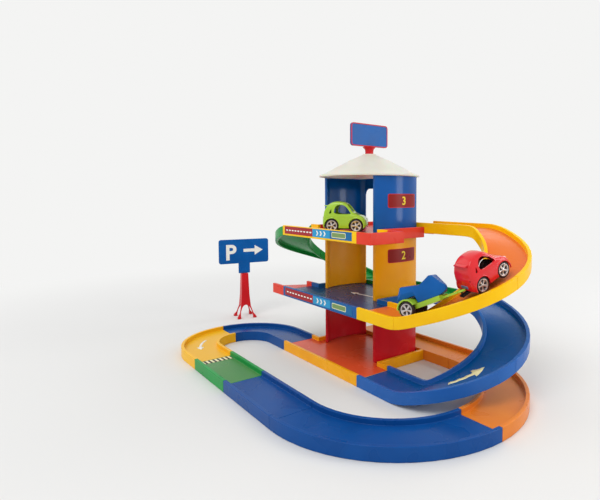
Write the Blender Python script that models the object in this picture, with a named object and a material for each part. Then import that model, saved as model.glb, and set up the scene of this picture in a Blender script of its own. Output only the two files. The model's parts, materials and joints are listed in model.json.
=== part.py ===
"""A three-level toy parking garage: tower, ramps, ground track, road sign, two cars and a trailer.

The origin is at the middle of the tower, on the surface that the toy stands on.
+X runs along the decks towards the ramps, +Y to the back of the tower and +Z up.
"""
import math

import bmesh
import bpy
from mathutils import Matrix, Vector

# Gap between pieces that touch
GAP = 0.0003

# Track: an H-shaped channel with low rims and hollow underneath
LANE_WIDTH = 0.075
RIM_THICKNESS = 0.006
TRACK_HEIGHT = 0.020
FLOOR_TOP = 0.012
FLOOR_THICKNESS = 0.003
TURN_OUTER_RADIUS = 0.130
TURN_RADIUS = TURN_OUTER_RADIUS - LANE_WIDTH / 2

# Levels: height of each level's underside
LEVEL_1 = 0.0
LEVEL_2 = 0.116
LEVEL_3 = 0.243
WALL_TOP = 0.361

# Tower
LANE_INNER = TURN_OUTER_RADIUS - LANE_WIDTH
FRONT_LANE = -TURN_RADIUS
BACK_LANE = TURN_RADIUS
DECK_HALF = 0.124
BAY_HALF = 0.102
WALL_EDGE_X = 0.082
WALL_EDGE_Y = 0.053
WALL_BOW = 0.012
WALL_THICKNESS = 0.003
FLANGE_WIDTH = 0.007
END_STOP_LENGTH = 0.037
LINTEL_END_Z = 0.327
LINTEL_ARCH = 0.012
FOOT_HALF = 0.012
BAY_RIBS = 4
RIB_HALF = 0.001
RIB_DEPTH = 0.006

# Ramps on the right
RAMP_CENTRE_X = 0.216
RAMP_HOOK = 0.008
YELLOW_LANDING_X = 0.060

# Ground track
LEFT_TURN_X = -0.186
LEFT_TURN_Y = FRONT_LANE - TURN_RADIUS
FRONT_STRAIGHT_Y = LEFT_TURN_Y - TURN_RADIUS
BIG_TURN_X = 0.166
BIG_TURN_RADIUS = (BACK_LANE - FRONT_STRAIGHT_Y) / 2
BIG_TURN_Y = (BACK_LANE + FRONT_STRAIGHT_Y) / 2
GREEN_STRAIGHT_START = -0.129
GREEN_STRAIGHT_END = 0.005

# Roof and its sign
ROOF_RADIUS = 0.101
ROOF_HEIGHT = 0.046
ROOF_SHELL = 0.0022
ROOF_TOP_RADIUS = 0.013
SIGN_WIDTH = 0.094
SIGN_HEIGHT = 0.045
SIGN_THICKNESS = 0.004
SIGN_FOOT = 0.422
SIGN_STEM_RADIUS = 0.0085

# Parking sign on its own stand
STAND_PLACE = (-0.440, -0.072)
STAND_TURN = math.radians(-10)
STAND_POST_TOP = 0.118
STAND_FOOT_HALF = 0.025
STAND_ARCH_HEIGHT = 0.034
STAND_BOARD = (0.132, 0.064, 0.005)
STAND_BOARD_LOW = 0.145
STAND_NECK = 0.015
BOARD_CORNER = 0.006

# Cars
CAR_SHELL = 0.0022
WHEEL_RADIUS = 0.0125
WHEEL_WIDTH = 0.008
WHEEL_BASE = 0.046
WHEEL_TRACK = 0.032
AXLE_RADIUS = 0.0015
AXLE_PLAY = 0.00008
BEARING_RADIUS = (AXLE_RADIUS + AXLE_PLAY) / math.cos(math.pi / 24)
FLOOR_PLAY = 0.0002
GREEN_CAR_PLACE = (0.024, -0.077)
GREEN_CAR_HEADING = math.radians(42)
RED_CAR_TRAVEL = 0.220
RED_CAR_SEAT = 0.224
RED_CAR_LIFT = 0.0036
TOW_BALL = (-0.0490, 0.0145)
TOW_BALL_RADIUS = 0.003

# Trailer
DRAWBAR = 0.086
TRAILER_LIFT = 0.0032
TRAILER_LEAN = math.radians(-4)
TRAILER_TRACK = 0.040
TRAILER_HALF_WIDTH = 0.0145

# Ramp shape: where the slope begins and how long it takes to reach its full steepness
SLOPE_BLEND = 0.016

COLOURS = {
    "amber": (0xFB, 0xB0, 0x16),
    "orange": (0xE0, 0x7A, 0x2A),
    "navy": (0x17, 0x49, 0x7F),
    "blue": (0x00, 0x55, 0xA4),
    "red": (0xD2, 0x20, 0x2A),
    "coral": (0xE8, 0x43, 0x2E),
    "yellow": (0xFD, 0xCB, 0x0A),
    "green": (0x16, 0x9A, 0x45),
    "lime": (0x9C, 0xCB, 0x3B),
    "milk": (0xE6, 0xE4, 0xD6),
    "silver": (0xC8, 0xC8, 0xCC),
    "steel": (0x9A, 0x9C, 0xA0),
}


def clear_scene():
    """Removes whatever the scene holds."""
    for item in list(bpy.data.objects):
        bpy.data.objects.remove(item, do_unlink=True)


def linear(channel):
    """Turns one sRGB byte into a linear value."""
    value = channel / 255
    return value / 12.92 if value <= 0.04045 else ((value + 0.055) / 1.055) ** 2.4


def plastic(part, colour, roughness=0.35, metallic=0.0, alpha=1.0):
    """Gives a part its own plastic material."""
    material = bpy.data.materials.new(part.name + "_material")
    material.use_nodes = True
    shader = material.node_tree.nodes["Principled BSDF"]
    shader.inputs["Base Color"].default_value = [linear(c) for c in COLOURS[colour]] + [1.0]
    shader.inputs["Roughness"].default_value = roughness
    shader.inputs["Metallic"].default_value = metallic
    shader.inputs["Alpha"].default_value = alpha
    part.data.materials.append(material)


def add_object(name, shape, colour, roughness=0.35, metallic=0.0, alpha=1.0):
    """Turns a bmesh into a named object with its material."""
    bmesh.ops.recalc_face_normals(shape, faces=shape.faces)
    mesh = bpy.data.meshes.new(name)
    shape.to_mesh(mesh)
    shape.free()
    part = bpy.data.objects.new(name, mesh)
    bpy.context.scene.collection.objects.link(part)
    plastic(part, colour, roughness, metallic, alpha)
    return part


def add_guide(name, shape):
    """Turns a bmesh into a hidden shape that another object is joined with or cut by."""
    bmesh.ops.recalc_face_normals(shape, faces=shape.faces)
    mesh = bpy.data.meshes.new(name)
    shape.to_mesh(mesh)
    shape.free()
    guide = bpy.data.objects.new(name, mesh)
    bpy.context.scene.collection.objects.link(guide)
    guide.hide_render = True
    guide.display_type = "WIRE"
    return guide


def combine(part, guide, operation):
    """Adds a Boolean with a guide, which follows the part."""
    guide.parent = part
    boolean = part.modifiers.new(guide.name, "BOOLEAN")
    boolean.object = guide
    boolean.operation = operation
    boolean.solver = "EXACT"


def smooth(part, degrees=35):
    """Shades a part smooth except along its sharp edges."""
    part.data.shade_smooth()
    part.data.set_sharp_from_angle(angle=math.radians(degrees))


def prism(outline, low, high):
    """A straight prism from a plan outline of (x, y) points."""
    shape = bmesh.new()
    bottom = [shape.verts.new((x, y, low)) for x, y in outline]
    top = [shape.verts.new((x, y, high)) for x, y in outline]
    shape.faces.new(bottom[::-1])
    shape.faces.new(top)
    count = len(outline)
    for i in range(count):
        j = (i + 1) % count
        shape.faces.new((bottom[i], bottom[j], top[j], top[i]))
    return shape


def block(low, high):
    """A box between two corners."""
    outline = [(low[0], low[1]), (high[0], low[1]), (high[0], high[1]), (low[0], high[1])]
    return prism(outline, low[2], high[2])


def blocks(boxes, gaps=()):
    """One closed body from boxes that share faces or overlap, less the boxes in gaps."""
    lines = []
    for axis in range(3):
        lines.append(sorted({round(box[end][axis], 7) for box in [*boxes, *gaps] for end in (0, 1)}))
    sizes = [len(line) - 1 for line in lines]

    def inside(box, middle):
        return all(box[0][axis] < middle[axis] < box[1][axis] for axis in range(3))

    filled = set()
    for i in range(sizes[0]):
        for j in range(sizes[1]):
            for k in range(sizes[2]):
                middle = [(line[n] + line[n + 1]) / 2 for line, n in zip(lines, (i, j, k))]
                solid = any(inside(box, middle) for box in boxes)
                if solid and not any(inside(box, middle) for box in gaps):
                    filled.add((i, j, k))
    shape = bmesh.new()
    corners = {}

    def corner(key):
        if key not in corners:
            corners[key] = shape.verts.new([lines[axis][key[axis]] for axis in range(3)])
        return corners[key]

    for cell in filled:
        for axis in range(3):
            for side in (0, 1):
                neighbour = list(cell)
                neighbour[axis] += 1 if side else -1
                if tuple(neighbour) in filled:
                    continue
                a, b = [n for n in range(3) if n != axis]
                face = []
                for da, db in ((0, 0), (1, 0), (1, 1), (0, 1)):
                    key = list(cell)
                    key[axis] += side
                    key[a] += da
                    key[b] += db
                    face.append(corner(tuple(key)))
                shape.faces.new(face)
    bmesh.ops.recalc_face_normals(shape, faces=shape.faces)
    bmesh.ops.dissolve_limit(shape, angle_limit=0.001, verts=shape.verts, edges=shape.edges)
    return shape


def lathe(profile, steps):
    """A turned body from a closed profile of (radius, height) points round +Z."""
    shape = bmesh.new()
    rings = []
    for radius, height in profile:
        if radius < 1e-7:
            rings.append([shape.verts.new((0, 0, height))])
            continue
        turn = [2 * math.pi * i / steps for i in range(steps)]
        rings.append([shape.verts.new((radius * math.cos(a), radius * math.sin(a), height)) for a in turn])
    for ring, following in zip(rings, rings[1:] + rings[:1]):
        if len(ring) == 1 and len(following) == 1:
            continue
        for i in range(steps):
            j = (i + 1) % steps
            face = [ring[i % len(ring)], ring[j % len(ring)], following[j % len(following)],
                    following[i % len(following)]]
            shape.faces.new(list(dict.fromkeys(face)))
    return shape


def sweep(profile, stations):
    """A body from an upright profile of (left, up) points moved along (x, y, z, heading) stations."""
    shape = bmesh.new()
    rings = []
    for x, y, z, heading in stations:
        left = (-math.sin(heading), math.cos(heading))
        rings.append([shape.verts.new((x + left[0] * s, y + left[1] * s, z + u)) for s, u in profile])
    count = len(profile)
    for ring, following in zip(rings, rings[1:]):
        for i in range(count):
            j = (i + 1) % count
            shape.faces.new((ring[i], ring[j], following[j], following[i]))
    shape.faces.new(rings[0][::-1])
    shape.faces.new(rings[-1])
    return shape


def channel_profile(width=LANE_WIDTH):
    """The H-shaped section of the track, from its left rim to its right."""
    outer = width / 2
    inner = outer - RIM_THICKNESS
    under = FLOOR_TOP - FLOOR_THICKNESS
    return [(-outer, 0), (-inner, 0), (-inner, under), (inner, under), (inner, 0), (outer, 0),
            (outer, TRACK_HEIGHT), (inner, TRACK_HEIGHT), (inner, FLOOR_TOP), (-inner, FLOOR_TOP),
            (-inner, TRACK_HEIGHT), (-outer, TRACK_HEIGHT)]


def straight(start, end):
    """Stations along a straight run between two (x, y, z) points."""
    heading = math.atan2(end[1] - start[1], end[0] - start[0])
    return [(*start, heading), (*end, heading)]


def arc(centre, radius, first, last, low, high, steps):
    """Stations along a rising arc; angles in degrees, a smaller last angle turns clockwise."""
    run = []
    turn = math.copysign(math.pi / 2, last - first)
    for i in range(steps + 1):
        share = i / steps
        angle = math.radians(first + (last - first) * share)
        run.append((centre[0] + radius * math.cos(angle), centre[1] + radius * math.sin(angle),
                    low + (high - low) * share, angle + turn))
    return run


def join_runs(*runs):
    """Chains runs of stations, dropping the repeated points between them."""
    path = list(runs[0])
    for run in runs[1:]:
        path.extend(run[1:])
    return path


def trim(path):
    """Shortens both ends of a path by half the gap between pieces."""
    trimmed = list(path)
    for index, sign in ((0, 1), (-1, -1)):
        x, y, z, heading = path[index]
        step = sign * GAP / 2
        trimmed[index] = (x + step * math.cos(heading), y + step * math.sin(heading), z, heading)
    return trimmed


def add_track(name, path, colour):
    """One piece of track along a path of stations."""
    part = add_object(name, sweep(channel_profile(), trim(path)), colour, 0.32)
    smooth(part)
    return part


def ramp_height(travelled, run, low, high):
    """Height on a ramp: level, then an even slope round the half turn, then level again."""
    arc_length = math.pi * TURN_RADIUS
    slope = (high - low) / arc_length

    def eased(past_start):
        if past_start <= -SLOPE_BLEND:
            return 0.0
        if past_start < SLOPE_BLEND:
            return slope / (4 * SLOPE_BLEND) * (past_start + SLOPE_BLEND) ** 2
        return slope * past_start

    past = travelled - run
    if past < arc_length / 2:
        return low + eased(past)
    return high - eased(arc_length - past)


def ramp_point(travelled, run, low, high, side=1, centre_x=RAMP_CENTRE_X):
    """Centre line of a ramp as (x, y, z, heading), a distance along it in plan."""
    arc_length = math.pi * TURN_RADIUS
    z = ramp_height(travelled, run, low, high)
    if travelled < run:
        return centre_x - side * (run - travelled), FRONT_LANE, z, (0.0 if side > 0 else math.pi)
    if travelled <= run + arc_length:
        turn = (travelled - run) / TURN_RADIUS
        x = centre_x + side * TURN_RADIUS * math.sin(turn)
        return x, -TURN_RADIUS * math.cos(turn), z, (turn if side > 0 else math.pi - turn)
    past = travelled - run - arc_length
    return centre_x - side * past, BACK_LANE, z, (math.pi if side > 0 else 0.0)


def ramp_path(run, low, high, side=1, centre_x=RAMP_CENTRE_X, landing=None):
    """A half turn between the front lane and the back lane, with straight runs at both ends."""
    arc_length = math.pi * TURN_RADIUS
    blend = SLOPE_BLEND
    marks = [0.0]
    if run > blend:
        marks.append(run - blend)
    marks += [run - blend * k for k in (0.5, 0.0, -0.5, -1.0) if run - blend * k > 0]
    turns = 20
    marks += [run + blend + (arc_length - 2 * blend) * i / turns for i in range(1, turns)]
    marks += [run + arc_length - blend * k for k in (1.0, 0.5, 0.0, -0.5) if blend * -k <= run]
    if run > blend:
        marks.append(run + arc_length + blend)
        marks.append(run + arc_length + (landing or run))
    return [ramp_point(travelled, run, low, high, side, centre_x) for travelled in marks]


def split(path, at):
    """Cuts a path in two at one of its stations."""
    return path[:at + 1], path[at:]


def make_level_tray(name, level, colour, deck=True):
    """A level: its front lane and the bay floor that the walls stand on."""
    under = level + FLOOR_TOP - FLOOR_THICKNESS
    floor = level + FLOOR_TOP
    top = level + TRACK_HEIGHT
    front = -TURN_OUTER_RADIUS
    inner = -LANE_INNER
    end = DECK_HALF - GAP / 2
    bay_back = LANE_INNER - GAP
    bay_front = inner if deck else inner + GAP
    rim = RIM_THICKNESS
    boxes = [((-BAY_HALF, bay_front, under), (BAY_HALF, bay_back, floor))]
    for side in (-1, 1):
        edge = sorted((side * BAY_HALF, side * (BAY_HALF - rim)))
        boxes.append(((edge[0], bay_front, level), (edge[1], bay_back, top)))
    boxes.append(((-BAY_HALF, bay_back - rim, level), (BAY_HALF, bay_back, floor)))
    if deck:
        boxes.append(((-end, front, under), (end, inner, floor)))
        boxes.append(((-end, front, level), (end, front + rim, top)))
        boxes.append(((-end, inner - rim, level), (end, inner, floor)))
        for side in (-1, 1):
            edge = sorted((side * end, side * BAY_HALF - side * rim))
            boxes.append(((edge[0], inner - rim, level), (edge[1], inner, top)))
    else:
        boxes.append(((-BAY_HALF, bay_front, level), (BAY_HALF, bay_front + rim, floor)))
    if level == LEVEL_1:
        boxes.append(((-FOOT_HALF, -FOOT_HALF, 0.0), (FOOT_HALF, FOOT_HALF, under)))
    for i in range(1, BAY_RIBS + 1):
        x = -BAY_HALF + i * 2 * BAY_HALF / (BAY_RIBS + 1)
        boxes.append(((x - RIB_HALF, bay_front, under - RIB_DEPTH), (x + RIB_HALF, bay_back, under)))
    return add_object(name, blocks(boxes), colour)


def wall_outline(side):
    """Plan outline of a wall that bows outwards between two thicker edges."""
    half = WALL_EDGE_Y
    radius = (half * half + WALL_BOW * WALL_BOW) / (2 * WALL_BOW)
    centre = WALL_EDGE_X + WALL_BOW - radius
    steps = 12
    spread = math.asin(half / radius)
    outer = []
    inner = []
    for i in range(steps + 1):
        angle = -spread + 2 * spread * i / steps
        outer.append((centre + radius * math.cos(angle), radius * math.sin(angle)))
        inner_radius = radius - WALL_THICKNESS
        inner.append((centre + inner_radius * math.cos(angle), inner_radius * math.sin(angle)))
    flange = WALL_EDGE_X - FLANGE_WIDTH
    outline = outer + [(flange, half), (flange, half - WALL_THICKNESS)]
    outline += [p for p in inner[::-1] if abs(p[1]) < half - WALL_THICKNESS - 0.0005]
    outline += [(flange, -half + WALL_THICKNESS), (flange, -half)]
    return [(side * x, y) for x, y in outline]


def make_walls():
    """Two walls on each level, which carry the level above and the roof."""
    floors = [LEVEL_1, LEVEL_2, LEVEL_3]
    tops = [LEVEL_2, LEVEL_3, WALL_TOP]
    colours = ["red", "amber", "blue"]
    for level, (floor, top, colour) in enumerate(zip(floors, tops, colours), start=1):
        for word, side in (("left", -1), ("right", 1)):
            shape = prism(wall_outline(side), floor + FLOOR_TOP + GAP, top - GAP)
            part = add_object(f"level{level}_wall_{word}", shape, colour)
            smooth(part, 25)


def make_level_3():
    """The top level: a red bay, a yellow deck in front of it and a red back lane."""
    make_level_tray("level3_tray", LEVEL_3, "coral", deck=False)
    rim = RIM_THICKNESS
    under = LEVEL_3 + FLOOR_TOP - FLOOR_THICKNESS
    floor = LEVEL_3 + FLOOR_TOP
    top = LEVEL_3 + TRACK_HEIGHT
    front = -TURN_OUTER_RADIUS
    inner = -LANE_INNER
    end = DECK_HALF - GAP / 2
    boxes = [((-end, front, under), (end, inner, floor)),
             ((-end, front, LEVEL_3), (end, front + rim, top)),
             ((-end, inner - rim, LEVEL_3), (end, inner, floor)),
             ((-end, inner - rim, LEVEL_3), (-BAY_HALF + rim, inner, top)),
             ((BAY_HALF - rim, inner - rim, LEVEL_3), (end, inner, top))]
    add_object("level3_deck", blocks(boxes), "yellow")

    start = DECK_HALF + GAP / 2
    stop = DECK_HALF + END_STOP_LENGTH
    boxes = [((start, front, under), (stop, inner, floor)),
             ((start, front, LEVEL_3), (stop, front + rim, top)),
             ((start, inner - rim, LEVEL_3), (stop, inner, top)),
             ((stop - rim, front, LEVEL_3), (stop, inner, top))]
    add_object("level3_end_stop", blocks(boxes), "coral")

    back = TURN_OUTER_RADIUS
    near = LANE_INNER
    end = YELLOW_LANDING_X - GAP / 2
    boxes = [((-DECK_HALF, near, under), (end, back, floor)),
             ((-DECK_HALF, back - rim, LEVEL_3), (end, back, top)),
             ((-DECK_HALF, near, LEVEL_3), (-DECK_HALF + rim, back, top)),
             ((-DECK_HALF, near, LEVEL_3), (end, near + rim, floor)),
             ((-DECK_HALF, near, LEVEL_3), (-BAY_HALF + rim, near + rim, top))]
    add_object("level3_back_lane", blocks(boxes), "coral")


def make_lintel():
    """The arch across the back of the top level, between the flanges of its walls."""
    half = WALL_EDGE_X - FLANGE_WIDTH - GAP
    steps = 6
    outline = [(-half, WALL_TOP - GAP), (-half, LINTEL_END_Z)]
    for i in range(1, steps + 1):
        angle = math.pi / 2 * i / steps
        x = -half + LINTEL_ARCH * (1 - math.cos(angle))
        outline.append((x, LINTEL_END_Z + LINTEL_ARCH * math.sin(angle)))
    outline += [(-x, z) for x, z in outline[::-1]]
    back = WALL_EDGE_Y
    rings = [[(x, y, z) for x, z in outline] for y in (back - WALL_THICKNESS + GAP, back)]
    add_object("level3_back_lintel", loft(rings), "blue")


def make_run_off():
    """The short red piece at the left end of the second level's deck."""
    start = -DECK_HALF - GAP / 2
    front = -TURN_OUTER_RADIUS
    inner = -LANE_INNER
    rim = RIM_THICKNESS
    near_length = 0.045
    far_length = 0.020
    outline = [(start, front), (start, inner), (start - far_length, inner),
               (start - near_length, front + 0.030), (start - near_length, front)]
    under = LEVEL_2 + FLOOR_TOP - FLOOR_THICKNESS
    part = add_object("level2_run_off", prism(outline, under, LEVEL_2 + FLOOR_TOP), "coral")
    near_rim = block((start - near_length, front, LEVEL_2), (start, front + rim, LEVEL_2 + TRACK_HEIGHT))
    combine(part, add_guide("run_off_near_rim", near_rim), "UNION")
    far_rim = block((start - far_length, inner - rim, LEVEL_2), (start, inner, LEVEL_2 + TRACK_HEIGHT))
    combine(part, add_guide("run_off_far_rim", far_rim), "UNION")


def make_ramps():
    """The three half-turn ramps that join the levels."""
    run = RAMP_CENTRE_X - DECK_HALF
    yellow = ramp_path(run, LEVEL_2, LEVEL_3 + RAMP_HOOK, landing=RAMP_CENTRE_X - YELLOW_LANDING_X)
    turn_starts = next(i for i, station in enumerate(yellow) if station[0] >= RAMP_CENTRE_X)
    start, turn = split(yellow, turn_starts)
    lower, upper = split(turn, len(yellow) // 2 - turn_starts)
    add_track("yellow_ramp_start", start, "yellow")
    add_track("yellow_ramp_lower", lower, "yellow")
    add_track("yellow_ramp_upper", upper, "yellow")
    blue = ramp_path(run, LEVEL_1, LEVEL_2)
    lower, upper = split(blue, len(blue) // 2)
    add_track("blue_ramp_lower", lower, "blue")
    add_track("blue_ramp_upper", upper, "blue")
    green = ramp_path(0.0, LEVEL_3, LEVEL_2, -1, -DECK_HALF)
    upper, lower = split(green, len(green) // 2)
    add_track("green_ramp_upper", upper, "green")
    add_track("green_ramp_lower", lower, "green")
    back = straight((-DECK_HALF, BACK_LANE, LEVEL_2), (DECK_HALF, BACK_LANE, LEVEL_2))
    add_track("level2_back_lane", back, "green")


def make_ground_track():
    """The loop of track on the floor, from the first level's deck round to its back lane."""
    left_centre = (LEFT_TURN_X, LEFT_TURN_Y)
    curve = join_runs(straight((-DECK_HALF, FRONT_LANE, 0), (LEFT_TURN_X, FRONT_LANE, 0)),
                      arc(left_centre, TURN_RADIUS, 90, 180, 0, 0, 12))
    add_track("ground_curve_blue", curve, "blue")
    lead_out = straight((LEFT_TURN_X, FRONT_STRAIGHT_Y, 0), (GREEN_STRAIGHT_START, FRONT_STRAIGHT_Y, 0))
    turn = join_runs(arc(left_centre, TURN_RADIUS, 180, 270, 0, 0, 12), lead_out)
    add_track("ground_curve_yellow", turn, "yellow")
    green = straight((GREEN_STRAIGHT_START, FRONT_STRAIGHT_Y, 0), (GREEN_STRAIGHT_END, FRONT_STRAIGHT_Y, 0))
    add_track("ground_straight_green", green, "green")
    blue = straight((GREEN_STRAIGHT_END, FRONT_STRAIGHT_Y, 0), (BIG_TURN_X, FRONT_STRAIGHT_Y, 0))
    add_track("ground_straight_blue", blue, "blue")
    big_centre = (BIG_TURN_X, BIG_TURN_Y)
    front = arc(big_centre, BIG_TURN_RADIUS, -90, 0, 0, 0, 16)
    add_track("ground_curve_front", front, "blue")
    back = arc(big_centre, BIG_TURN_RADIUS, 0, 90, 0, 0, 16)
    add_track("ground_curve_back", back, "orange")
    lane = straight((BIG_TURN_X, BACK_LANE, 0), (-DECK_HALF, BACK_LANE, 0))
    add_track("level1_back_lane", lane, "orange")


def make_roof():
    """The translucent roof, a flared cone, with the sign on top."""
    low = WALL_TOP
    high = WALL_TOP + ROOF_HEIGHT
    outer = [(ROOF_RADIUS, low), (ROOF_RADIUS, low + 0.003), (0.088, low + 0.008),
             (0.062, low + 0.022), (0.036, low + 0.035), (ROOF_TOP_RADIUS + 0.002, high - 0.002),
             (ROOF_TOP_RADIUS, high), (0, high)]
    inner = [(0, high - ROOF_SHELL), (ROOF_TOP_RADIUS - 0.001, high - ROOF_SHELL),
             (0.036, low + 0.035 - ROOF_SHELL), (0.062, low + 0.022 - ROOF_SHELL),
             (0.088, low + 0.008 - ROOF_SHELL), (ROOF_RADIUS - 0.002, low + 0.0014),
             (ROOF_RADIUS - 0.002, low)]
    roof = add_object("roof", lathe(outer + inner, 40), "milk", 0.25, 0.0, 0.8)
    smooth(roof)

    stem = SIGN_STEM_RADIUS
    post = [(0, high + GAP), (stem, high + GAP), (stem * 1.1, SIGN_FOOT - 0.005),
            (stem * 1.55, SIGN_FOOT - 0.0015), (stem * 1.55, SIGN_FOOT - GAP), (0, SIGN_FOOT - GAP)]
    part = add_object("roof_sign_post", lathe(post, 24), "red")
    smooth(part)

    add_object("roof_sign_board", board(SIGN_WIDTH, SIGN_HEIGHT, SIGN_THICKNESS, SIGN_FOOT), "blue")


def board(width, height, thickness, low):
    """An upright board with rounded corners, which faces along X."""
    steps = 5
    outline = []
    for first, side, z in ((0, 1, low + height - BOARD_CORNER), (90, -1, low + height - BOARD_CORNER),
                           (180, -1, low + BOARD_CORNER), (270, 1, low + BOARD_CORNER)):
        y = side * (width / 2 - BOARD_CORNER)
        for i in range(steps + 1):
            angle = math.radians(first + 90 * i / steps)
            outline.append((y + BOARD_CORNER * math.cos(angle), z + BOARD_CORNER * math.sin(angle)))
    return loft([[(x, y, z) for y, z in outline] for x in (-thickness / 2, thickness / 2)])


def make_parking_sign():
    """The free-standing parking sign: a post that splays into four legs and a board on it."""
    place = Matrix.Translation((*STAND_PLACE, 0)) @ Matrix.Rotation(STAND_TURN, 4, "Z")
    foot = STAND_FOOT_HALF
    widths = ((0.0, 1.0), (0.004, 0.98), (0.012, 0.74), (0.030, 0.52), (0.060, 0.42),
              (STAND_POST_TOP, 0.34))
    rings = []
    for z, share in widths:
        half = foot * share
        rings.append([(x * half, y * half, z) for x, y in ((1, 1), (-1, 1), (-1, -1), (1, -1))])
    post = add_object("parking_sign_post", loft(rings), "red")
    arch_half = foot * 0.66
    arch = [(arch_half, -0.01)]
    for degrees in range(0, 181, 15):
        angle = math.radians(degrees)
        arch.append((arch_half * math.cos(angle), STAND_ARCH_HEIGHT * math.sin(angle)))
    arch.append((-arch_half, -0.01))
    for index, turn in enumerate((0, 90)):
        guide = add_guide(f"parking_post_arch_{index + 1}", across(arch, 0.05))
        guide.rotation_euler.z = math.radians(turn)
        combine(post, guide, "DIFFERENCE")
    smooth(post, 30)
    post.matrix_world = place

    width, height, thickness = STAND_BOARD
    low = STAND_BOARD_LOW
    panel = add_object("parking_sign_board", board(width, height, thickness, low), "blue")
    half = thickness / 2
    neck = block((-half, -STAND_NECK, STAND_POST_TOP + GAP), (half, STAND_NECK, low + 0.004))
    combine(panel, add_guide("parking_board_neck", neck), "UNION")
    panel.matrix_world = place


def loft(rings):
    """A closed body through rings of (x, y, z) points, all with the same number of points."""
    shape = bmesh.new()
    loops = [[shape.verts.new(point) for point in ring] for ring in rings]
    count = len(loops[0])
    for loop, following in zip(loops, loops[1:]):
        for i in range(count):
            j = (i + 1) % count
            shape.faces.new((loop[i], loop[j], following[j], following[i]))
    shape.faces.new(loops[0][::-1])
    shape.faces.new(loops[-1])
    bmesh.ops.triangulate(shape, faces=shape.faces)
    return shape


def across(outline, half_width):
    """A prism across a vehicle from its side outline of (x, z) points."""
    return loft([[(x, y, z) for x, z in outline] for y in (-half_width, half_width)])


def disc_across(x, z, radius, half_width, steps=20):
    """A cylinder across a vehicle."""
    turn = [2 * math.pi * (i + 0.5) / steps for i in range(steps)]
    return across([(x + radius * math.cos(a), z + radius * math.sin(a)) for a in turn], half_width)


def car_rings(inset, sill_drop):
    """Sections of the rounded car body from tail to nose, drawn in by an inset.

    Each section has its place along the car, half width, sill, belt line, roof and half roof width.
    """
    sections = [(-0.0410, 0.0150, 0.0110, 0.0240, 0.0290, 0.0130),
                (-0.0380, 0.0190, 0.0090, 0.0290, 0.0400, 0.0160),
                (-0.0330, 0.0208, 0.0080, 0.0310, 0.0505, 0.0160),
                (-0.0240, 0.0210, 0.0080, 0.0320, 0.0565, 0.0155),
                (-0.0120, 0.0210, 0.0080, 0.0320, 0.0580, 0.0155),
                (0.0000, 0.0210, 0.0080, 0.0320, 0.0560, 0.0155),
                (0.0070, 0.0210, 0.0080, 0.0315, 0.0510, 0.0157),
                (0.0170, 0.0210, 0.0080, 0.0310, 0.0380, 0.0170),
                (0.0240, 0.0208, 0.0080, 0.0295, 0.0340, 0.0172),
                (0.0340, 0.0198, 0.0090, 0.0270, 0.0300, 0.0165),
                (0.0400, 0.0165, 0.0110, 0.0210, 0.0250, 0.0140),
                (0.0410, 0.0140, 0.0130, 0.0180, 0.0210, 0.0120)]
    rings = []
    for x, width, sill, belt, top, top_width in sections:
        x *= 1 - inset / 0.041
        width -= inset
        top_width -= inset * 0.8
        top -= inset
        belt -= inset * 0.3
        half = [(width * 0.97, sill - sill_drop), (width, sill + 0.005 - sill_drop / 4),
                (width, belt - 0.002), (top_width, top - 0.004), (top_width * 0.75, top - 0.0008)]
        ring = [(x, y, z) for y, z in half] + [(x, 0.0, top)] + [(x, -y, z) for y, z in half[::-1]]
        rings.append(ring)
    return rings


def make_wheels(prefix, place, x, track, axle_height):
    """An axle with a wheel at each end."""
    half = track / 2 + WHEEL_WIDTH / 2 - 0.003
    profile = [(0, -half), (AXLE_RADIUS, -half), (AXLE_RADIUS, half), (0, half)]
    turned = Matrix.Rotation(math.radians(-90), 4, "X")
    axle = add_object(f"{prefix}_axle", lathe(profile, 12), "steel", 0.25, 1.0)
    smooth(axle)
    axle.matrix_world = place @ Matrix.Translation((x, 0, axle_height)) @ turned
    bore = AXLE_RADIUS + GAP
    inside = -WHEEL_WIDTH / 2
    outside = WHEEL_WIDTH / 2
    rim = WHEEL_RADIUS - 0.0035
    wheel_profile = [(bore, inside), (WHEEL_RADIUS - 0.001, inside), (WHEEL_RADIUS, inside + 0.001),
                     (WHEEL_RADIUS, outside - 0.001), (WHEEL_RADIUS - 0.001, outside), (rim, outside),
                     (rim - 0.0005, outside - 0.0012), (0.003, outside - 0.0012),
                     (0.0025, outside - 0.0004),
                     (0, outside - 0.0004), (0, outside - 0.0027), (bore, outside - 0.0027)]
    for word, side in (("left", 1), ("right", -1)):
        wheel = add_object(f"{prefix}_wheel_{word}", lathe(wheel_profile, 28), "silver")
        smooth(wheel)
        hand = Matrix.Rotation(math.radians(-90 * side), 4, "X")
        wheel.matrix_world = place @ Matrix.Translation((x, side * track / 2, axle_height)) @ hand


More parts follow.
